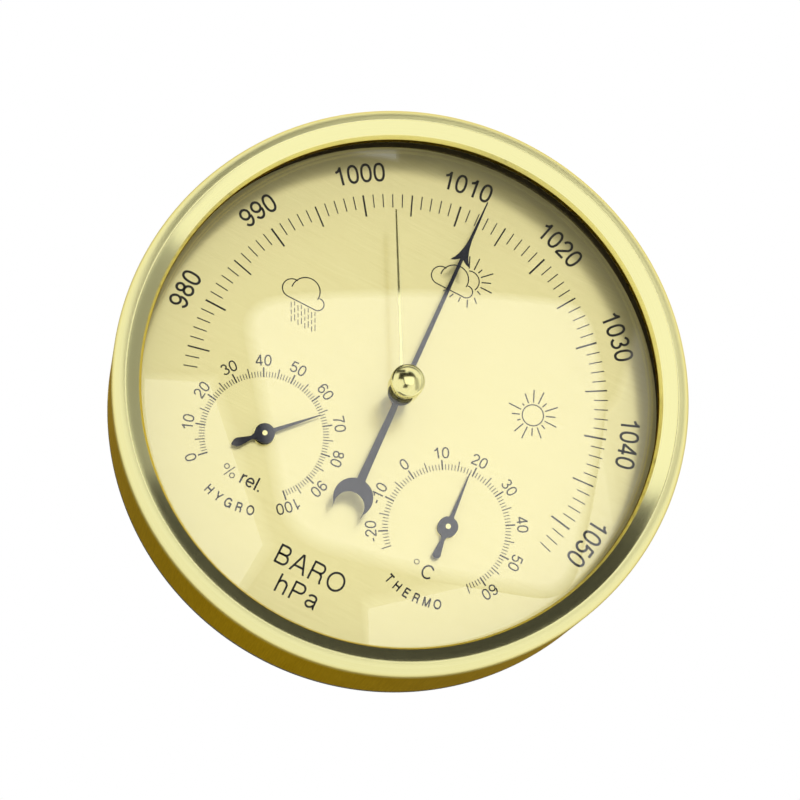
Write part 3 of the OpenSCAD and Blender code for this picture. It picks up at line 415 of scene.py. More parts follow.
dress(coil_strip("two_metal_strip", ((0.5, 0.42, 0.34), (0.66, 0.56, 0.45)), (0.24, 0.38)), "thermo_coil")
dress(coil_strip("film_strip", ((0.6, 0.47, 0.26), (0.78, 0.64, 0.4)), (0.3, 0.46)), "hygro_coil")

# Dial plate: thin aluminium, brushed straight across, dyed pale gold and lacquered.
# The spacer ring hides the notch at its top, and the hands' arbors pass through its holes.
DIAL_R = 64.4
SUB_X = 23.4
SUB_Y = 21.6


def dial_gold():
    """The brushed finish, its mirror drawn out across the lay of the lines."""
    made = surface("brushed_gold_dial", ((0.79, 0.71, 0.325), (0.87, 0.79, 0.38)), (0.19, 0.24), 2.8,
                   (0.035, 1, 1), 0.12, 0.005, rough_by="Lines", Metallic=0.58, Anisotropic=0.4)
    tree = made.node_tree
    lay = add_node(tree, "ShaderNodeTangent", direction_type="UV_MAP", uv_map="lay")
    wire(tree, tree.nodes["Principled BSDF"], {"Tangent": lay})
    return made


def flat_lay(mesh):
    """A UV map that runs straight across the piece, for the lay of its brushing."""
    layer = mesh.uv_layers.get("lay") or mesh.uv_layers.new(name="lay")
    for loop in mesh.loops:
        at = mesh.vertices[loop.vertex_index].co
        layer.data[loop.index].uv = (at.y, -at.x)
    return mesh


def dial_outline():
    notch_half, notch_deep = 1.5, 1.2
    turn = math.degrees(math.asin(notch_half / DIAL_R))
    rim = arc(0, 0, DIAL_R, 90 + turn, 450 - turn, 240)
    return rim + [(notch_half, DIAL_R - notch_deep), (-notch_half, DIAL_R - notch_deep)]


dial = stamped([dial_outline(), circle(0, 0, 1.6)] + [circle(s * SUB_X, -SUB_Y, 1.92) for s in (-1, 1)],
               -DIAL_T, 0, 0.05)
place_piece("brushed_dial", finished(flat_lay(dial)), dial_gold(), "case", "dial_gold", "dial_plate")

# Dial printing: black ink laid on the plate, a fiftieth of a millimetre thick.
# Ticks repeat round three scales, and the figures, units and weather signs are single strokes.
INK_T = 0.02


def maths(tree, operation, *values, **settings):
    """What one sum gives for sockets and numbers."""
    inputs = dict(enumerate(values))
    return add_node(tree, "ShaderNodeMath", inputs, operation=operation, **settings).outputs[0]


def tick_tree():
    """Bars round a scale, at equal steps, that leave out every so-many-th one."""
    tree, given, out = node_group("scale_ticks", "GeometryNodeTree", [
        ("Geometry", "NodeSocketGeometry", None), ("Count", "NodeSocketInt", 10),
        ("First Angle", "NodeSocketFloat", 0.0), ("Step Angle", "NodeSocketFloat", 1.0),
        ("Inner Radius", "NodeSocketFloat", 10.0), ("Outer Radius", "NodeSocketFloat", 12.0),
        ("Width", "NodeSocketFloat", 0.2), ("Thickness", "NodeSocketFloat", 0.02),
        ("Skip Every", "NodeSocketInt", 0), ("Skip From", "NodeSocketInt", 0),
        ("Ink", "NodeSocketMaterial", None)], [("Geometry", "NodeSocketGeometry")])
    inner, outer = given["Inner Radius"], given["Outer Radius"]
    thickness, every = given["Thickness"], given["Skip Every"]
    row = add_node(tree, "GeometryNodeMeshLine", {"Count": given["Count"], "Offset": (0, 0, 0)})
    index = add_node(tree, "GeometryNodeInputIndex")
    rest = maths(tree, "FLOORED_MODULO", maths(tree, "ADD", index, given["Skip From"]), every)
    on_skip = maths(tree, "LESS_THAN", rest, 0.5)
    left_out = maths(tree, "MULTIPLY", on_skip, maths(tree, "GREATER_THAN", every, 0.5))
    turn = maths(tree, "MULTIPLY_ADD", index, given["Step Angle"], given["First Angle"])
    spin = add_node(tree, "ShaderNodeCombineXYZ", {"Z": maths(tree, "RADIANS", turn)})
    size = add_node(tree, "ShaderNodeCombineXYZ", {
        "X": given["Width"], "Y": maths(tree, "SUBTRACT", outer, inner), "Z": thickness})
    place = add_node(tree, "ShaderNodeCombineXYZ", {
        "Y": maths(tree, "MULTIPLY", maths(tree, "ADD", inner, outer), 0.5),
        "Z": maths(tree, "MULTIPLY", thickness, 0.5)})
    bar = add_node(tree, "GeometryNodeMeshCube", {"Size": size})
    out_there = add_node(tree, "GeometryNodeTransform", {"Geometry": bar, "Translation": place})
    copies = add_node(tree, "GeometryNodeInstanceOnPoints", {
        "Points": row, "Selection": maths(tree, "SUBTRACT", 1.0, left_out), "Instance": out_there,
        "Rotation": spin})
    real = add_node(tree, "GeometryNodeRealizeInstances", {"Geometry": copies})
    inked = add_node(tree, "GeometryNodeSetMaterial", {"Geometry": real, "Material": given["Ink"]})
    tree.links.new(inked.outputs[0], out["Geometry"])
    return tree


def grown(tree, **values):
    """The plain mesh that a geometry tree gives for these named inputs."""
    seed = in_scene("seed", bpy.data.meshes.new("seed"))
    modifier = seed.modifiers.new("grow", "NODES")
    modifier.node_group = tree
    for socket in tree.interface.items_tree:
        name = socket.name.replace(" ", "_")
        if socket.in_out == "INPUT" and name in values:
            modifier[socket.identifier] = values[name]
    mesh = result_of(seed)
    seed.modifiers.remove(modifier)
    bpy.data.objects.remove(seed)
    return mesh


def printing_ink(name, dark, pale):
    return surface(name, (dark, pale), (0.38, 0.5), 5.0, Metallic=0.0, IOR=1.5)


black_ink = printing_ink("black_print", (0.004, 0.003, 0.002), (0.01, 0.008, 0.005))
grey_ink = printing_ink("thin_print", (0.035, 0.03, 0.018), (0.06, 0.052, 0.032))
ticks = tick_tree()


def scale_row(x, y, count, first, step, inner, outer, width, skip=0, skip_from=0):
    row = grown(ticks, Count=count, First_Angle=first, Step_Angle=step, Inner_Radius=inner,
                Outer_Radius=outer, Width=width, Thickness=INK_T, Skip_Every=skip, Skip_From=skip_from)
    return moved(row, x, y)


HPA_DEG = 2.707
PERCENT_DEG = 2.7
CELSIUS_DEG = 3.0
TICK_OUT = 49.6
TICK_IN = 44.4
SHORT_TICK_IN = 46.36
SMALL_TICK_IN = 13.56
SMALL_TICK_OUT = 15.87
strong = [scale_row(0, 0, 8, 33 * HPA_DEG, -10 * HPA_DEG, TICK_IN, TICK_OUT, 0.44)]
middling = [scale_row(0, 0, 8, 38 * HPA_DEG, -10 * HPA_DEG, TICK_IN, TICK_OUT, 0.36)]
weak = [scale_row(0, 0, 81, 40 * HPA_DEG, -HPA_DEG, SHORT_TICK_IN, TICK_OUT, 0.26, 5, 3)]
for x, deg, tens, ones in ((-SUB_X, PERCENT_DEG, 11, 101), (SUB_X, CELSIUS_DEG, 9, 91)):
    small = [(tens, 5 * (tens - 1), -10, SMALL_TICK_OUT, 0.36, 0), (10, 45, -10, SMALL_TICK_OUT, 0.26, 0),
             (ones, (ones - 1) / 2, -1, 14.9, 0.2, 5)]
    rows = [scale_row(x, -SUB_Y, count, first * deg, step * deg, SMALL_TICK_IN, outer, width, skip)
            for count, first, step, outer, width, skip in small]
    strong.append(rows[0])
    weak += rows[1:]


def bow(cx, cy, rx, ry, start, end, steps=18, squareness=2.0):
    """Points of a part of an oval, squarer for a higher last value."""
    points = []
    for i in range(steps + 1):
        a = math.radians(start + (end - start) * i / steps)
        c, s = math.cos(a), math.sin(a)
        points.append((cx + rx * math.copysign(abs(c) ** (2 / squareness), c),
                       cy + ry * math.copysign(abs(s) ** (2 / squareness), s)))
    return points


def oval(cx, cy, rx, ry, steps, squareness=2.0):
    return bow(cx, cy, rx, ry, -90, 270, steps, squareness)


def stem(x, top=1.0):
    return [(x, 0.0), (x, top)]


def bar(x0, x1, y):
    return [(x0, y), (x1, y)]


# A figure is a width and its strokes, on a height of 1. A diagonal ends level, as in a cut letter.
STROKES = {
    "0": (0.77, [oval(0.385, 0.5, 0.265, 0.45, 40, 2.35)]),
    "1": (0.77, [stem(0.47), bow(0.16, 0.98, 0.29, 0.24, -88, -12, 8)]),
    "2": (0.77, [bow(0.39, 0.69, 0.255, 0.26, 175, -28, 20) + [(0.2, 0.17), (0.135, 0.05)],
                 bar(0.1, 0.67, 0.05)]),
    "3": (0.77, [bow(0.37, 0.735, 0.22, 0.215, 160, -85, 20),
                 bow(0.375, 0.285, 0.265, 0.235, 85, -165, 22)]),
    "4": (0.77, [stem(0.51), bar(0.05, 0.69, 0.27), ("level", (0.51, 0.97), (0.095, 0.3))]),
    "5": (0.77, [bar(0.2, 0.64, 0.95), ("level", (0.225, 0.97), (0.15, 0.45)),
                 bow(0.375, 0.325, 0.265, 0.275, 145, -160, 24)]),
    "6": (0.77, [oval(0.39, 0.315, 0.255, 0.265, 32), bow(0.415, 0.545, 0.285, 0.405, 35, 188, 18)]),
    "7": (0.77, [bar(0.08, 0.69, 0.95), [(0.65, 0.93), (0.46, 0.66), (0.35, 0.36), (0.3, 0.0)]]),
    "8": (0.77, [oval(0.385, 0.745, 0.205, 0.205, 32), oval(0.385, 0.29, 0.26, 0.24, 32)]),
    "9": (0.77, [oval(0.38, 0.685, 0.255, 0.265, 32), bow(0.355, 0.455, 0.285, 0.405, 215, 368, 18)]),
    "-": (0.46, [bar(0.06, 0.38, 0.33)]),
    "B": (0.93, [stem(0.155), [(0.155, 0.95)] + bow(0.53, 0.735, 0.21, 0.215, 90, -90, 12)
                 + [(0.155, 0.52)], [(0.155, 0.52)] + bow(0.56, 0.285, 0.24, 0.235, 90, -90, 12)
                 + [(0.155, 0.05)]]),
    "A": (0.93, [("level", (0.06, 0.0), (0.465, 1.0)), ("level", (0.87, 0.0), (0.465, 1.0)),
                 bar(0.2, 0.73, 0.32)]),
    "R": (1.0, [stem(0.155), [(0.155, 0.95)] + bow(0.6, 0.725, 0.22, 0.225, 90, -90, 12)
                + [(0.155, 0.5)], bow(0.6, 0.3, 0.2, 0.19, 80, 0, 6) + [(0.81, 0.12), (0.87, 0.0)]]),
    "O": (1.08, [oval(0.54, 0.5, 0.455, 0.455, 40)]),
    "H": (1.0, [stem(0.15), stem(0.85), bar(0.15, 0.85, 0.52)]),
    "Y": (0.93, [stem(0.465, 0.42), ("level", (0.465, 0.38), (0.07, 1.0)),
                 ("level", (0.465, 0.38), (0.86, 1.0))]),
    "G": (1.08, [bow(0.54, 0.5, 0.45, 0.455, 38, 345, 34), stem(0.97, 0.49), bar(0.58, 1.01, 0.47)]),
    "T": (0.85, [stem(0.425, 0.97), bar(0.03, 0.82, 0.95)]),
    "E": (0.93, [stem(0.16), bar(0.16, 0.83, 0.95), bar(0.16, 0.78, 0.52), bar(0.16, 0.85, 0.05)]),
    "M": (1.16, [stem(0.15), stem(1.01), ("level", (0.17, 1.0), (0.58, 0.0)),
                 ("level", (0.99, 1.0), (0.58, 0.0))]),
    "C": (1.0, [bow(0.52, 0.5, 0.43, 0.455, 35, 325, 32)]),
    "P": (0.93, [stem(0.155), [(0.155, 0.95)] + bow(0.57, 0.71, 0.24, 0.24, 90, -90, 12)
                 + [(0.155, 0.47)]]),
    "h": (0.77, [stem(0.13), [(0.13, 0.45)] + bow(0.385, 0.45, 0.255, 0.235, 160, 0, 12)
                 + [(0.64, 0.0)]]),
    "a": (0.77, [bow(0.355, 0.545, 0.235, 0.15, 170, 0, 12) + [(0.59, 0.17)]
                 + bow(0.67, 0.14, 0.08, 0.1, 180, 270, 5),
                 [(0.59, 0.42), (0.45, 0.375)] + bow(0.31, 0.215, 0.21, 0.165, 90, 275, 14)
                 + [(0.46, 0.1), (0.59, 0.24)]]),
    "%": (1.24, [oval(0.27, 0.75, 0.19, 0.2, 24), oval(0.97, 0.25, 0.19, 0.2, 24),
                 ("level", (0.36, 0.0), (0.88, 1.0))]),
    "r": (0.48, [stem(0.13, 0.73), [(0.13, 0.38)] + bow(0.37, 0.45, 0.24, 0.23, 170, 75, 8)]),
    "e": (0.77, [bar(0.14, 0.64, 0.38) + bow(0.385, 0.365, 0.255, 0.32, 3, 320, 26)]),
    "l": (0.31, [stem(0.155)]),
    ".": (0.39, [stem(0.19, 0.14)]),
    " ": (0.33, []),
}


def ribbon(bm, sides):
    """A closed flat bar of ink between pairs of side points."""
    layers = [[[bm.verts.new((x, y, z)) for x, y in pair] for pair in sides] for z in (0.0, INK_T)]
    low, high = layers
    for (a, b), (c, d), (e, f), (g, h) in zip(low, low[1:], high, high[1:]):
        for face in ((a, b, d, c), (e, g, h, f), (a, c, g, e), (b, f, h, d)):
            bm.faces.new(face)
    for low_end, high_end in ((low[0], high[0]), (low[-1], high[-1])):
        bm.faces.new((low_end[0], high_end[0], high_end[1], low_end[1]))


def stroke_sides(points, weight):
    """Pairs of side points along a stroke, square to it, or level for a cut diagonal."""
    half = weight / 2
    if points[0] == "level":
        (x0, y0), (x1, y1) = points[1:]
        wide = half * math.hypot(x1 - x0, y1 - y0) / abs(y1 - y0)
        return [((x0 - wide, y0), (x0 + wide, y0)), ((x1 - wide, y1), (x1 + wide, y1))]
    comes_round = math.dist(points[0], points[-1]) < 1e-6
    if comes_round:
        points = points[:-1] + [points[0]]
    sides = []
    for i, (x, y) in enumerate(points):
        (xa, ya), (xb, yb) = points[max(i - 1, 0)], points[min(i + 1, len(points) - 1)]
        if comes_round and i in (0, len(points) - 1):
            (xa, ya), (xb, yb) = points[-2], points[1]
        run = math.hypot(xb - xa, yb - ya)
        across = (-(yb - ya) / run * half, (xb - xa) / run * half)
        sides.append(((x + across[0], y + across[1]), (x - across[0], y - across[1])))
    return sides


AS_DRAWN = Matrix.Identity(4)


def put_stroke(bm, points, weight, place=AS_DRAWN):
    sides = [tuple(place @ Vector((x, y, 0)) for x, y in pair) for pair in stroke_sides(points, weight)]
    ribbon(bm, [tuple((p.x, p.y) for p in pair) for pair in sides])


def put_figure(bm, sign, height, weight, place):
    """One figure, drawn on the place's own axes from its left end."""
    for points in STROKES[sign][1]:
        put_stroke(bm, points, weight, place @ Matrix.Scale(height, 4))


def width_of(text, height, narrow):
    return sum(STROKES[c][0] for c in text) * height * narrow


def round_label(bm, text, cx, cy, r, clock, height, weight, narrow=1.0, inward=False):
    """A label round a circle, upright to the outside, or to the inside at the foot of a dial."""
    total = width_of(text, height, narrow)
    done = 0.0
    for c in text:
        wide = width_of(c, height, narrow)
        off = math.degrees((done + wide / 2 - total / 2) / (r if inward else r + height / 2))
        turn = -(clock + (-off if inward else off)) + (180 if inward else 0)
        place = (Matrix.Translation((cx, cy, 0)) @ Matrix.Rotation(math.radians(turn), 4, "Z")
                 @ Matrix.Translation((-wide / 2, -r if inward else r, 0))
                 @ Matrix.Scale(narrow, 4, (1, 0, 0)))
        put_figure(bm, c, height, weight, place)
        done += wide


def straight_label(bm, text, x0, x1, base, height, weight, cx=0.0, cy=0.0, narrow=1.0):
    """A label set level between two places."""
    total = width_of(text, height, narrow)
    spare = (x1 - x0 - total) / max(len(text) - 1, 1)
    x = x0
    for c in text:
        put_figure(bm, c, height, weight, Matrix.Translation((cx + x, cy + base, 0))
                   @ Matrix.Scale(narrow, 4, (1, 0, 0)))
        x += width_of(c, height, narrow) + spare


LABEL_R = 52.75
SUB_LABEL_R = 16.3
MIDDLE_HPA = 1013
figures = bmesh.new()
for hpa in range(980, 1051, 10):
    round_label(figures, str(hpa), 0, 0, LABEL_R, (hpa - MIDDLE_HPA) * HPA_DEG, 4.5, 0.14, 0.9)
for x, deg, least, middle, most in ((-SUB_X, PERCENT_DEG, 0, 50, 100), (SUB_X, CELSIUS_DEG, -20, 20, 60)):
    for mark in range(least, most + 1, 10):
        round_label(figures, str(mark), x, -SUB_Y, SUB_LABEL_R, (mark - middle) * deg, 2.58, 0.13)
straight_label(figures, "BARO", -8.9, 8.5, -46.75, 4.6, 0.115, narrow=0.9)
straight_label(figures, "hPa", -5.8, 4.9, -52.7, 4.4, 0.115, narrow=0.92)
straight_label(figures, "rel.", -0.4, 5.2, -12.55, 3.1, 0.14, -SUB_X, -SUB_Y)
for letters, x, start, step in (("HYGRO", -SUB_X, 197.5, -8.5), ("THERMO", SUB_X, 201.9, -8.12)):
    for i, letter in enumerate(letters):
        round_label(figures, letter, x, -SUB_Y, 18.9, start + step * i, 2.15, 0.2, 0.76, True)
straight_label(figures, "C", -0.95, 1.9, -12.85, 3.3, 0.13, SUB_X, -SUB_Y, 0.88)

thin_figures = bmesh.new()
straight_label(thin_figures, "%", -5.0, -1.6, -12.55, 2.83, 0.085, -SUB_X, -SUB_Y)
put_stroke(thin_figures, oval(SUB_X - 2.78, -SUB_Y - 10.2, 0.56, 0.56, 20), 0.2)


def sun_rays(bm, cx, cy, rays, weight):
    """Strokes out of one middle, each from its start to its reach."""
    for angle, start, reach in rays:
        c, s = math.cos(math.radians(angle)), math.sin(math.radians(angle))
        put_stroke(bm, [(cx + start * c, cy + start * s), (cx + reach * c, cy + reach * s)], weight)


def sun(bm, cx, cy, ring, rays, weight):
    """A ring with its rays, each given by its angle and how far it reaches."""
    put_stroke(bm, oval(cx, cy, ring, ring, 40), weight)
    sun_rays(bm, cx, cy, [(angle, ring + 0.55, reach) for angle, reach in rays], weight * 1.1)


def cloud(bm, cx, cy, weight):
    """Three puffs on a flat base."""
    main = bow(cx, cy, 3.35, 3.35, 188, -8, 36)
    left = bow(cx - 3.2, cy - 0.75, 2.2, 2.2, 78, 270, 26)
    right = bow(cx + 3.85, cy - 1.5, 1.48, 1.48, 100, -90, 20)
    base = [(cx - 3.2, cy - 2.96), (cx + 3.85, cy - 2.96)]
    for points in (main, left, right, base):
        put_stroke(bm, points, weight)


RAYS = [6.1, 5.35, 6.25, 4.4, 6.15, 6.1, 5.45, 3.65, 6.25, 4.95, 3.9, 5.85, 6.15, 4.9, 5.75, 4.2]
RAY_STEP = 22.5
SIGN_WEIGHT = 0.27
sun(figures, 29.75, 11.62, 2.5, [(RAY_STEP * i, reach) for i, reach in enumerate(RAYS)], SIGN_WEIGHT)

RAIN_X, RAIN_Y = -30.1, 13.3
cloud(figures, RAIN_X, RAIN_Y, SIGN_WEIGHT)
slant = Vector((0.45, -0.9)).normalized()
for i in range(8):
    start = Vector((RAIN_X - 2.1 + 0.88 * i, RAIN_Y - 3.35))
    drops = [(0.0, 1.0), (1.5, 2.6), (3.1, 4.6)] if i % 2 else [(0.5, 1.9), (2.4, 3.4), (3.9, 5.2)]
    for near, far in drops:
        put_stroke(thin_figures, [tuple(start + slant * near), tuple(start + slant * far)], 0.2)

# The middle sign is a sun behind a cloud: a part of its ring, and rays only outside the cloud.
FAIR_X, FAIR_Y = -0.72, 32.5
cloud(figures, FAIR_X, FAIR_Y, SIGN_WEIGHT)
sun_x, sun_y = FAIR_X + 3.2, FAIR_Y + 1.05
put_stroke(figures, bow(sun_x, sun_y, 2.53, 2.53, -28, 112, 24), SIGN_WEIGHT)
clear_rays = [(RAY_STEP * i, 3.1, RAYS[i]) for i in range(-1, 6)]
rays_below = [(-45, 4.2, 5.7), (-67.5, 4.5, 6.4), (-90, 4.4, 5.6), (-112.5, 4.8, 6.0), (-131, 5.6, 6.5)]
sun_rays(figures, sun_x, sun_y, clear_rays + rays_below, 0.29)


def print_mesh(rows, sheet):
    """One mesh of tick rows and a sheet of drawn figures, faces outwards."""
    whole = bmesh.new()
    for part in (*rows, mesh_of(sheet)):
        whole.from_mesh(part)
    bmesh.ops.recalc_face_normals(whole, faces=whole.faces)
    mesh = mesh_of(whole)
    mesh.transform(from_dial)
    return mesh


place_piece("dial_figures", print_mesh(strong + middling, figures), black_ink, "case", "dial_gold")
place_piece("dial_fine_marks", print_mesh(weak, thin_figures), grey_ink, "case", "dial_gold")

# Spacer ring and gasket: an aluminium ring enamelled black stands on the dial and carries the glass.
# A thin black rubber ring lies between its top and the glass's ground seat.
SPACER_IN = 61.1
SPACER_OUT = 62.6
SPACER_H = 7.7
SPACER_FOOT = 1.5
ring = turned(arc(SPACER_IN + 0.15, SPACER_H - 0.15, 0.15, 180, 90, 3)
              + arc(SPACER_OUT - 0.15, SPACER_H - 0.15, 0.15, 90, 0, 3)
              + arc(SPACER_OUT + 0.3, SPACER_FOOT + 0.3, 0.3, 180, 270, 4)
              + arc(DIAL_R - 0.2, SPACER_FOOT - 0.2, 0.2, 90, 0, 3) + [(DIAL_R, 0), (SPACER_IN, 0)], 256)
black_enamel = surface("black_enamel", ((0.016, 0.013, 0.008), (0.028, 0.023, 0.014)), (0.75, 0.9), 1.6,
                       relief_mm=0.01, Metallic=0.0, IOR=1.08)
place_piece("black_spacer", finished(ring), black_enamel, "case", "black_metal", "spacer_ring")

GASKET_TOP = SPACER_H + 0.58
gasket = turned([(SPACER_IN + 0.25, SPACER_H)] + arc(SPACER_IN + 0.2, SPACER_H + 0.3, 0.2, 225, 135, 3)
                + [(SPACER_IN + 0.25, GASKET_TOP), (SPACER_OUT - 0.25, GASKET_TOP)]
                + arc(SPACER_OUT - 0.2, SPACER_H + 0.3, 0.2, 45, -45, 3)
                + [(SPACER_OUT - 0.25, SPACER_H + 0.02)], 192)
gasket_rubber = surface("gasket_rubber", ((0.012, 0.012, 0.012), (0.03, 0.029, 0.028)), (0.62, 0.75), 3.0,
                        Metallic=0.0, IOR=1.5, Sheen_Weight=0.15)
place_piece("rubber_gasket", finished(gasket), gasket_rubber, "case", "gasket_rubber", "glass_gasket")

# Small instruments: a needle of blued steel, pressed on a brass arbor in a flanged brass bush.
# It turns with its coil. The case screws, the bush in the glass with its nut and the set hand's arbor
# are of the same polished brass.
NEEDLE_Z = 1.5
NEEDLE_T = 0.4
blued_steel = surface("blued_steel", ((0.016, 0.017, 0.022), (0.034, 0.036, 0.046)), (0.3, 0.42), 1.1,
                      relief_mm=0.006, Metallic=1.0, Coat_Weight=0.3, Coat_Roughness=0.15)
bright_brass = surface("polished_brass", ((0.86, 0.79, 0.34), (0.94, 0.89, 0.44)), (0.1, 0.18), 2.5,
                       relief_mm=0.002, Metallic=1.0)
dress(bright_brass, "case_screws", "glass_bush", "bush_nut", "set_arbor", "thermo_bush", "thermo_arbor",
      "hygro_bush", "hygro_arbor")


def mirrored(right):
    """An outline drawn down its right side, closed up its left."""
    return right + [(-x, y) for x, y in reversed(right) if abs(x) > 1e-9]


def needle_outline(blunt):
    tip, hub, tail = 13.5, 2.35, 8.0
    meet = math.degrees(math.asin(0.5 / hub))
    side = [(0.11, tip), (0.5, hub * math.cos(math.radians(meet)))]
    side += arc(0, 0, hub, 90 - meet, -76, 20)[1:-1]
    if blunt:
        foot = [(0.42, -3.2), (0.62, -4.6)] + arc(0, 0.95 - tail, 0.95, 20, -90, 10)
    else:
        foot = [(0.42, -3.2), (0.62, -4.4), (1.0, -6.3), (0.9, -7.1), (0.2, -tail)]
    return mirrored(side + foot)


for short, x, deg, blunt in (("thermo", SUB_X, 3.9, True), ("hygro", -SUB_X, -44.01, False)):
    body = short + "meter"
    bore = circle(0, 0, 0.62, 32)
    needle = stamped([needle_outline(blunt), bore], NEEDLE_Z, NEEDLE_Z + NEEDLE_T, 0.05)
    place_piece(short + "_hand", finished(moved(needle, x, -SUB_Y, deg)), blued_steel, body, "hand_black",
                short + "_needle")

# Main pointer: blued steel with a barbed head and an open crescent at its tail.
# It is pressed on the pinion's arbor, down to the brass collet under it.
POINTER_Z = 6.8
POINTER_T = 0.5
POINTER_DEG = 2.166
POINTER_BORE = 0.92
BOSS_R = 1.9
BOSS_LOW = 7.25
BOSS_TOP = 7.8


def pointer_outline():
    """Head at the top, crescent at the foot."""
    hub, tip = 3.0, 50.5
    head = [(0.15, tip), (0.3, 44.0), (0.38, 40.4), (0.66, 38.2), (1.2, 36.3), (1.75, 35.1), (2.42, 34.1),
            (1.45, 34.45), (0.4, 35.2)]
    meet = math.degrees(math.asin(0.62 / hub))
    hub_side = arc(0, 0, hub, 90 - meet, -90 + meet + 2, 24)
    stem = [(0.95, -22.6)]
    crescent = arc(0, -26.9, 4.55, 78, -40, 24)
    bite = arc(0, -29.2, 3.5, -8, 90, 16)
    horn = [(3.42, -31.2)]
    return mirrored(head + hub_side + stem + crescent[:-1] + horn + bite[1:])


bore = circle(0, 0, POINTER_BORE, 40)
pointer = stamped([pointer_outline(), bore], POINTER_Z, POINTER_Z + POINTER_T, 0.06)
boss = turned([(POINTER_BORE, BOSS_LOW), (BOSS_R, BOSS_LOW)]
              + arc(BOSS_R - 0.12, BOSS_TOP - 0.12, 0.12, 0, 90, 3) + [(POINTER_BORE, BOSS_TOP)], 64)
place_piece("barometer_hand", finished(moved(joined(pointer, boss), turn=POINTER_DEG)), blued_steel,
            "pointer", "hand_black", "main_pointer")

# Glass: a low dome of clear glass, drilled at its middle for the brass bush.
# Its edge is ground flat where it seats on the gasket, and the case's lip comes down on it.
DOME_TOP = 16.4
GLASS_T = 1.8
GLASS_R = 62.4
SEAT_Z = 8.3
LIP_R = 59.6
LIP_UNDER = 10.45
dome_sag = DOME_TOP - LIP_UNDER + 0.03
DOME_R = (LIP_R ** 2 + dome_sag ** 2) / (2 * dome_sag)


def clear_glass():
    """Clear for the camera and plain to lamps and to light thrown back by the dial."""
    made, tree, shader, mm = material_start("clear_glass", Metallic=0.0, Roughness=0.0, IOR=1.72,
                                            Transmission_Weight=1.0)
    faint = grained(tree, mm, (1, 1, 1), 0.4).outputs["Lines"]
    wire(tree, shader, {"Base Color": between(tree, faint, (0.985, 0.995, 0.985), (1.0, 1.0, 1.0))})
    path = add_node(tree, "ShaderNodeLightPath").outputs
    from_middle = add_node(tree, "ShaderNodeVectorMath", {
        0: mm, 1: (0, DOME_R - DOME_TOP - WALL_BEHIND_DIAL, 0)}, operation="DISTANCE")
    under = maths(tree, "LESS_THAN", from_middle.outputs["Value"], DOME_R - GLASS_T / 2)
    inside = add_node(tree, "ShaderNodeNewGeometry").outputs["Backfacing"]
    entered = mixed(tree, inside, under, maths(tree, "GREATER_THAN", path["Transparent Depth"], 0.5))
    thrown_back = maths(tree, "SUBTRACT", path["Is Glossy Ray"], path["Is Transmission Ray"],
                        use_clamp=True)
    from_dial_side = maths(tree, "MULTIPLY", thrown_back, entered)
    bounced = maths(tree, "MAXIMUM", path["Is Diffuse Ray"], from_dial_side)
    plain = maths(tree, "MAXIMUM", path["Is Shadow Ray"], bounced)
    through = add_node(tree, "ShaderNodeBsdfTransparent")
    both = add_node(tree, "ShaderNodeMixShader", {0: plain, 1: shader, 2: through})
    wire(tree, tree.nodes["Material Output"], {"Surface": both})
    return made


def glass_mesh():
    centre = DOME_TOP - DOME_R
    inside_r = DOME_R - GLASS_T
    hole = 2.02
    hole_edge = hole + 0.15
    side = GLASS_R - 0.3
    seat_in = math.sqrt(inside_r ** 2 - (SEAT_Z - centre) ** 2)

    def dome(radius, r):
        return centre + math.sqrt(radius ** 2 - r ** 2)

    def dome_line(radius, start, end, steps=40):
        across = [start + (end - start) * i / steps for i in range(steps + 1)]
        return [(r, dome(radius, r)) for r in across]

    return turned([(hole, dome(DOME_R, hole) - 0.12)] + dome_line(DOME_R, hole_edge, side)
                  + arc(side, dome(DOME_R, side) - 0.3, 0.3, 80, 0, 4) + [(GLASS_R, SEAT_Z + 0.2)]
                  + [(GLASS_R - 0.2, SEAT_Z)] + dome_line(inside_r, seat_in, hole_edge)
                  + [(hole, dome(inside_r, hole) + 0.12)], 256)


place_piece("domed_glass", finished(glass_mesh(), 20), clear_glass(), "case", "glass", "glass")

# Set hand and its knob: a thin brass hand under the glass, riveted to an arbor that runs in a bush.
# The bush is nutted through the glass, and the knob outside has a low dome and a milled edge.
SET_DEG = 27.88
SET_Z = 9.4
SET_T = 0.3
SET_ARBOR_R = 1.12


def set_outline():
    hub, half, tip, narrowing = 1.9, 0.36, 42.8, 0.15 / 40
    meet = math.degrees(math.asin(half / hub))
    along = [tip - i for i in range(40)]
    side = [(half - narrowing * (y - 2.8), y) for y in along]
    side += [(half, hub * math.cos(math.radians(meet)))] + arc(0, 0, hub, 90 - meet, -90, 24)[1:]
    return mirrored(side)


def sprung(mesh):
    """The hand's outer half, sprung a few degrees round its own length when it was rolled."""
    middle_z = SET_Z + SET_T / 2
    for corner in mesh.vertices:
        share = min(max((corner.co.y - 16) / 10, 0), 1)
        turn = math.radians(-10.5) * share * share * (3 - 2 * share)
        x, z = corner.co.x, corner.co.z - middle_z
        corner.co.x = x * math.cos(turn) + z * math.sin(turn)
        corner.co.z = middle_z - x * math.sin(turn) + z * math.cos(turn)
    return mesh


marker = sprung(stamped([set_outline(), circle(0, 0, SET_ARBOR_R, 40)], SET_Z, SET_Z + SET_T, 0.05))
place_piece("marker_hand", finished(moved(marker, turn=SET_DEG), 12), bright_brass, "setter",
            "polished_brass", "set_hand")

KNOB_R = 3.9
KNOB_LOW = 17.2
KNOB_HIGH = 20.6
MILLING = 44


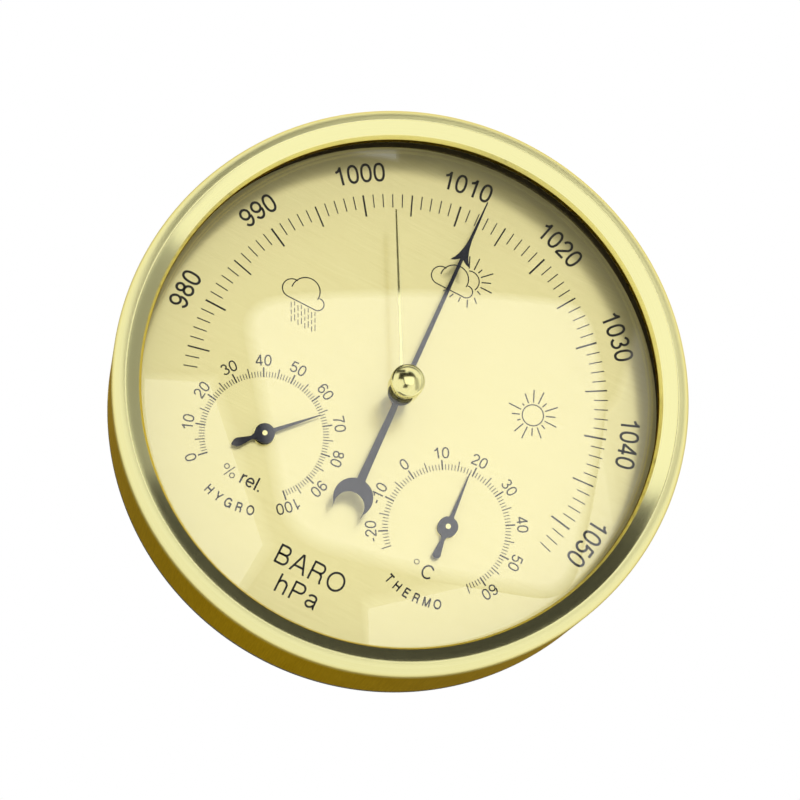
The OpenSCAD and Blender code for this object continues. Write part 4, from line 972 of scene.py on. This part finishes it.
def knob_mesh():
    crown, broken = 0.9, 0.45
    ball = ((KNOB_R - broken) ** 2 + crown ** 2) / (2 * crown)
    spread = math.degrees(math.asin((KNOB_R - broken) / ball))
    dome = arc(0, KNOB_HIGH - ball, ball, 90, 90 - spread, 12)
    edge_z = KNOB_HIGH - crown
    foot_r, socket_z = KNOB_R - 0.6, KNOB_LOW + 1.9
    rim = (arc(KNOB_R - 0.3, edge_z - 0.3, 0.3, 80, 0, 4)
           + [(KNOB_R, edge_z - 1.0), (KNOB_R, KNOB_LOW + 1.0)]
           + arc(KNOB_R - 0.35, KNOB_LOW + 0.75, 0.35, 0, -80, 4)
           + [(foot_r, KNOB_LOW + 0.3), (foot_r, KNOB_LOW), (SET_ARBOR_R, KNOB_LOW),
              (SET_ARBOR_R, socket_z), (0, socket_z)])

    def milled(r, z, turn):
        deep = 0.16 if r > KNOB_R - 0.12 else 0.0
        return r - deep * (0.5 - 0.5 * math.cos(MILLING * turn))

    return turned([(0, KNOB_HIGH)] + dome[1:] + rim, MILLING * 8, milled)


place_piece("brass_knob", finished(moved(knob_mesh(), turn=SET_DEG), 40), bright_brass, "setter",
            "polished_brass", "set_knob")

# Case: one sheet of brass spun over a former, with a rolled rim that turns down to the glass.
# The wall is brushed along the axis and coloured a darker brown than the rim as painted shade; the rim's
# top is satin and its inner slope polished.
# The edge under the slope is coloured near black as painted shade where the lip meets the glass, and the
# whole is lacquered.
CASE_WALL_IN = 65.1
RIM_C = 62.6
RIM_Z = 12.5
RIM_ROUND = 3.4
EDGE_R = 59.3
EDGE_Z = 12.2


def eased(tree, value, low, high):
    """0 to 1 between two places, with soft ends."""
    return add_node(tree, "ShaderNodeMapRange", {"Value": value, "From Min": low, "From Max": high},
                    interpolation_type="SMOOTHSTEP").outputs[0]


def case_brass():
    made, tree, shader, mm = material_start("spun_brass", Metallic=1.0, Specular_Tint=(0.8, 0.6, 0.12, 1))
    axes = add_node(tree, "ShaderNodeSeparateXYZ", {0: mm}).outputs
    flat = add_node(tree, "ShaderNodeCombineXYZ", {"X": axes["X"], "Y": axes["Z"]})
    out_r = add_node(tree, "ShaderNodeVectorMath", {0: flat}, operation="LENGTH").outputs["Value"]
    spun = add_node(tree, "ShaderNodeCombineXYZ", {"X": out_r, "Y": axes["Y"]})
    wall = grained(tree, mm, (1, 0.03, 1), 3.2, 0.15).outputs["Lines"]
    rings = grained(tree, spun.outputs[0], (1, 1, 1), 5.0, 0.1).outputs["Lines"]
    above_dial = maths(tree, "SUBTRACT", -WALL_BEHIND_DIAL, axes["Y"])
    on_rim = eased(tree, above_dial, 9.5, 13.5)
    on_top = eased(tree, out_r, 62.7, 63.2)
    # Painted shade: the lip's edge down at the glass turns near black, where shade falls between lip and
    # glass.
    low = eased(tree, above_dial, EDGE_Z + 0.2, EDGE_Z - 0.1)
    lip_painted_shade = maths(tree, "MULTIPLY", low, maths(tree, "LESS_THAN", out_r, 60.5))
    # Painted shade: the side wall takes a darker brown copy of the rim's brass colour.
    wall_shade_colour = between(tree, wall, (0.52, 0.35, 0.03), (0.72, 0.52, 0.07))
    rim_colour = between(tree, rings, (0.93, 0.88, 0.42), (0.98, 0.94, 0.49))
    colour = mixed(tree, on_rim, wall_shade_colour, rim_colour, "RGBA")
    rough = mixed(tree, on_rim, between(tree, wall, 0.22, 0.34), between(tree, rings, 0.13, 0.18))
    # The near-black colour here is the painted shade at the lip's edge.
    wire(tree, shader, {"Base Color": mixed(tree, lip_painted_shade, colour, (0.03, 0.026, 0.016, 1), "RGBA"),
                        "Roughness": mixed(tree, on_top, rough, between(tree, rings, 0.36, 0.42))})
    bumped(tree, shader, mixed(tree, on_rim, wall, rings), 0.005)
    return made


def case_mesh():
    lip = arc(EDGE_R + 0.25, LIP_UNDER + 0.3, 0.25, 150, 210, 3)
    wall_low = SIDE_BACK + 0.1
    wall_rings = [(CASE_R, wall_low + (RIM_Z - wall_low) * i / 8) for i in range(8)]
    slope = (arc(63.05, 15.35, 0.5, 94, 118, 4)
             + [(61.4, 14.8), (59.85, 13.85), (59.35, 12.35), (EDGE_R, EDGE_Z)])
    outer = wall_rings + arc(RIM_C, RIM_Z, RIM_ROUND, 0, 80, 18) + slope
    inner = ([(60.4, LIP_UNDER), (62.25, 14.6)] + arc(RIM_C, RIM_Z, RIM_ROUND - 0.9, 90, 0, 12)
             + [(CASE_WALL_IN, wall_low), (CASE_WALL_IN + 0.1, SIDE_BACK), (CASE_R - 0.1, SIDE_BACK)])
    return turned(outer + lip + inner, 256)


def screw_hole(clock):
    """A countersunk hole through the wall, as a cutter."""
    hole = turned([(0, 60), (1.1, 60), (1.1, CASE_WALL_IN), (1.95, CASE_R), (2.9, 67.0), (0, 67.0)], 32)
    hole.transform(Matrix.Rotation(math.radians(-clock), 4, "Z") @ Matrix.Translation((0, 0, -6))
                   @ Matrix.Rotation(math.radians(-90), 4, "X"))
    return hole


spun_case = cut(case_mesh(), joined(*[screw_hole(clock) for clock in (0, 115, 245)]))
place_piece("spun_case", finished(spun_case, 30), case_brass(), "case", "case_brass", "case_shell")

# Studio: a pale floor, one soft lamp in front, a bright board beside it and a plain white world.
# Dark boards stand where the photographer's room was dark; only reflections show them.
RIGHT = Vector((0.89055919, -0.13777536, 0.43350003))
UP = Vector((-0.45453254, -0.23298365, 0.85972018))
BACK = Vector((-0.01744984, -0.96267158, -0.27010911))
middle = Vector((0, -0.022, 0))

lens = bpy.data.cameras.new("photo_camera")
lens.lens = 124.86
lens.sensor_width = 36
camera = in_scene("photo_camera", lens)
camera.matrix_world = Matrix((
    (RIGHT.x, UP.x, BACK.x, -0.010490), (RIGHT.y, UP.y, BACK.y, -0.641248),
    (RIGHT.z, UP.z, BACK.z, -0.172617), (0, 0, 0, 1)))
bpy.context.scene.camera = camera

LAMP_FAR = 3.0


def soft_lamp(name, x, y, wide, high, tilt, level):
    """A rectangle of light that faces the object, placed by its slopes from there."""
    data = bpy.data.lights.new(name, "AREA")
    data.shape = "RECTANGLE"
    data.size = wide * LAMP_FAR
    data.size_y = high * LAMP_FAR
    data.energy = level * math.pi * data.size * data.size_y
    lamp = in_scene(name, data)
    at = Matrix.Translation(middle + (RIGHT * x + UP * y + BACK) * LAMP_FAR)
    turn = Matrix((RIGHT, UP, BACK)).transposed().to_4x4() @ Matrix.Rotation(math.radians(tilt), 4, "Z")
    lamp.matrix_world = at @ turn
    lamp.visible_camera = False
    lamp.visible_glossy = False
    lamp.visible_transmission = False


soft_lamp("key_box", 0.3, 0.4, 0.84, 0.70, 8, 1.3)


def glowing(name, corners, faces, levels, colour):
    """A panel that only reflections show, with a level of light at each of its corners."""
    mesh = bpy.data.meshes.new(name)
    mesh.from_pydata(corners, [], faces)
    level = mesh.attributes.new("level", "FLOAT", "POINT")
    for i, value in enumerate(levels):
        level.data[i].value = value
    made = bpy.data.materials.new(name)
    made.use_nodes = True
    tree = made.node_tree
    tree.nodes.remove(tree.nodes["Principled BSDF"])
    shown = add_node(tree, "ShaderNodeAttribute", attribute_name="level")
    glow = add_node(tree, "ShaderNodeEmission", {"Color": (*colour, 1), "Strength": shown.outputs["Fac"]})
    wire(tree, tree.nodes["Material Output"], {"Surface": glow})
    mesh.materials.append(made)
    panel = in_scene(name, mesh)
    panel.visible_camera = False
    panel.visible_diffuse = False
    panel.visible_shadow = False


def rounded(corners, rounding):
    """The corners as vectors, or short curves in their place if they are rounded."""
    here = [Vector(corner) for corner in corners]
    if not rounding:
        return here
    path = []
    for i, corner in enumerate(here):
        before, after = here[i - 1], here[(i + 1) % len(here)]
        start = corner + (before - corner).normalized() * rounding
        end = corner + (after - corner).normalized() * rounding
        for t in [k / 8 for k in range(9)]:
            path.append(start * (1 - t) ** 2 + corner * 2 * t * (1 - t) + end * t ** 2)
    return path


def soft_board(name, corners, far, rounding, softness, inside, outside, colour=(1.0, 1.0, 1.0),
               axes=(RIGHT, UP, BACK)):
    """A panel given by slopes from the object, with an edge that fades from one level to another."""
    path = rounded(corners, rounding)
    count = len(path)
    points = []
    for shift in (-softness / 2, softness / 2):
        for i, point in enumerate(path):
            along = (path[(i + 1) % count] - path[i - 1]).normalized()
            q = point + Vector((along.y, -along.x)) * shift
            points.append(tuple(middle + (axes[0] * q.x + axes[1] * q.y + axes[2]) * far))
    edge = [(i, count + i, count + (i + 1) % count, (i + 1) % count) for i in range(count)]
    glowing(name, points, [tuple(range(count))] + edge, [inside] * count + [outside] * count, colour)


soft_board("key_face", ((-0.042, 0.735), (0.052, 0.185), (0.3, 0.12), (0.67, 0.07), (0.885, 0.62),
                        (0.9, 0.894)), 3.1, 0.09, 0.035, 1.27, 0.04)
soft_board("dark_front", ((-0.45, 1.4), (-0.45, 0.56), (-0.1, 0.53), (0.02, 0.166), (-0.12, -0.06),
                          (0.205, -0.06), (0.2, 0.057), (0.45, 0.11), (0.6, 0.3), (0.93, 0.6), (1.12, 0.9),
                          (1.12, 1.4), (0.95, 1.75), (0.45, 1.75), (0.4, 1.4)),
           3.4, 0, 0.03, 0.04, 0.6, (1.0, 0.95, 0.85))
soft_board("dim_side", ((0.85, -0.3), (1.5, -0.3), (1.5, 1.0), (0.85, 1.0)), 3.6, 0, 0.05, 0.5, 0.8)
soft_board("dark_corner", ((-1.1, 2.2), (-1.1, 1.5), (0.1, 1.5), (0.1, 2.2)), 3.4, 0, 0.1, 0.04, 0.5)
OVER = RIGHT * 0.508 + UP * 0.861
ACROSS = UP * 0.508 - RIGHT * 0.861
soft_board("dark_above", ((-0.5, -0.14), (0.6, -0.14), (1.1, 0.0), (1.8, 0.4), (2.9, 1.2), (2.3, 1.55),
                          (1.4, 0.85), (0.8, 0.42), (0.35, 0.2), (-0.1, 0.13), (-0.5, 0.16)),
           3.0, 0, 0.04, 0.04, 0.3, axes=(ACROSS, BACK, OVER))
soft_board("dim_right", ((-2.4, 0.8), (-1.2, 0.1), (-0.52, -0.14), (-0.52, 0.18), (-1.0, 0.5),
                         (-2.0, 1.25)),
           3.0, 0, 0.04, 0.3, 0.5, axes=(ACROSS, BACK, OVER))
glowing("dim_behind", [(-0.5, 0.5, -0.4), (0.5, 0.5, -0.4), (0.5, 0.5, 0.4), (-0.5, 0.5, 0.4)],
        [(0, 1, 2, 3)], [0.26] * 4, (1.0, 0.95, 0.8))

FLOOR_DOWN = -2.0
FLOOR_REACH = 9


def floor_paint():
    """Pale and dull for the camera; in reflections it is as bright as the white world."""
    made, tree, shader, mm = material_start("pale_floor", Roughness=0.8)
    dusting = grained(tree, mm, (1, 1, 1), 0.02).outputs["Lines"]
    wire(tree, shader, {"Base Color": between(tree, dusting, (0.8, 0.8, 0.79), (0.84, 0.84, 0.835))})
    path = add_node(tree, "ShaderNodeLightPath").outputs
    seen = maths(tree, "MAXIMUM", path["Is Glossy Ray"], path["Is Transmission Ray"])
    glow = add_node(tree, "ShaderNodeEmission", {"Strength": 1.0})
    both = add_node(tree, "ShaderNodeMixShader", {0: seen, 1: shader, 2: glow})
    wire(tree, tree.nodes["Material Output"], {"Surface": both})
    return made


quarters = ((-1, -1), (1, -1), (1, 1), (-1, 1))
floor_corners = [(x * FLOOR_REACH, y * FLOOR_REACH, FLOOR_DOWN) for x, y in quarters]
floor_mesh = bpy.data.meshes.new("floor")
floor_mesh.from_pydata(floor_corners, [], [(0, 1, 2, 3)])
floor_mesh.materials.append(floor_paint())
in_scene("floor", floor_mesh)

world = bpy.data.worlds.new("white_studio")
bpy.context.scene.world = world
world.use_nodes = True
sky = world.node_tree
sky.nodes["Background"].inputs["Strength"].default_value = 1.0
sky.nodes["Background"].inputs["Color"].default_value = (1, 1, 1, 1)
bpy.context.scene.view_settings.view_transform = "Standard"
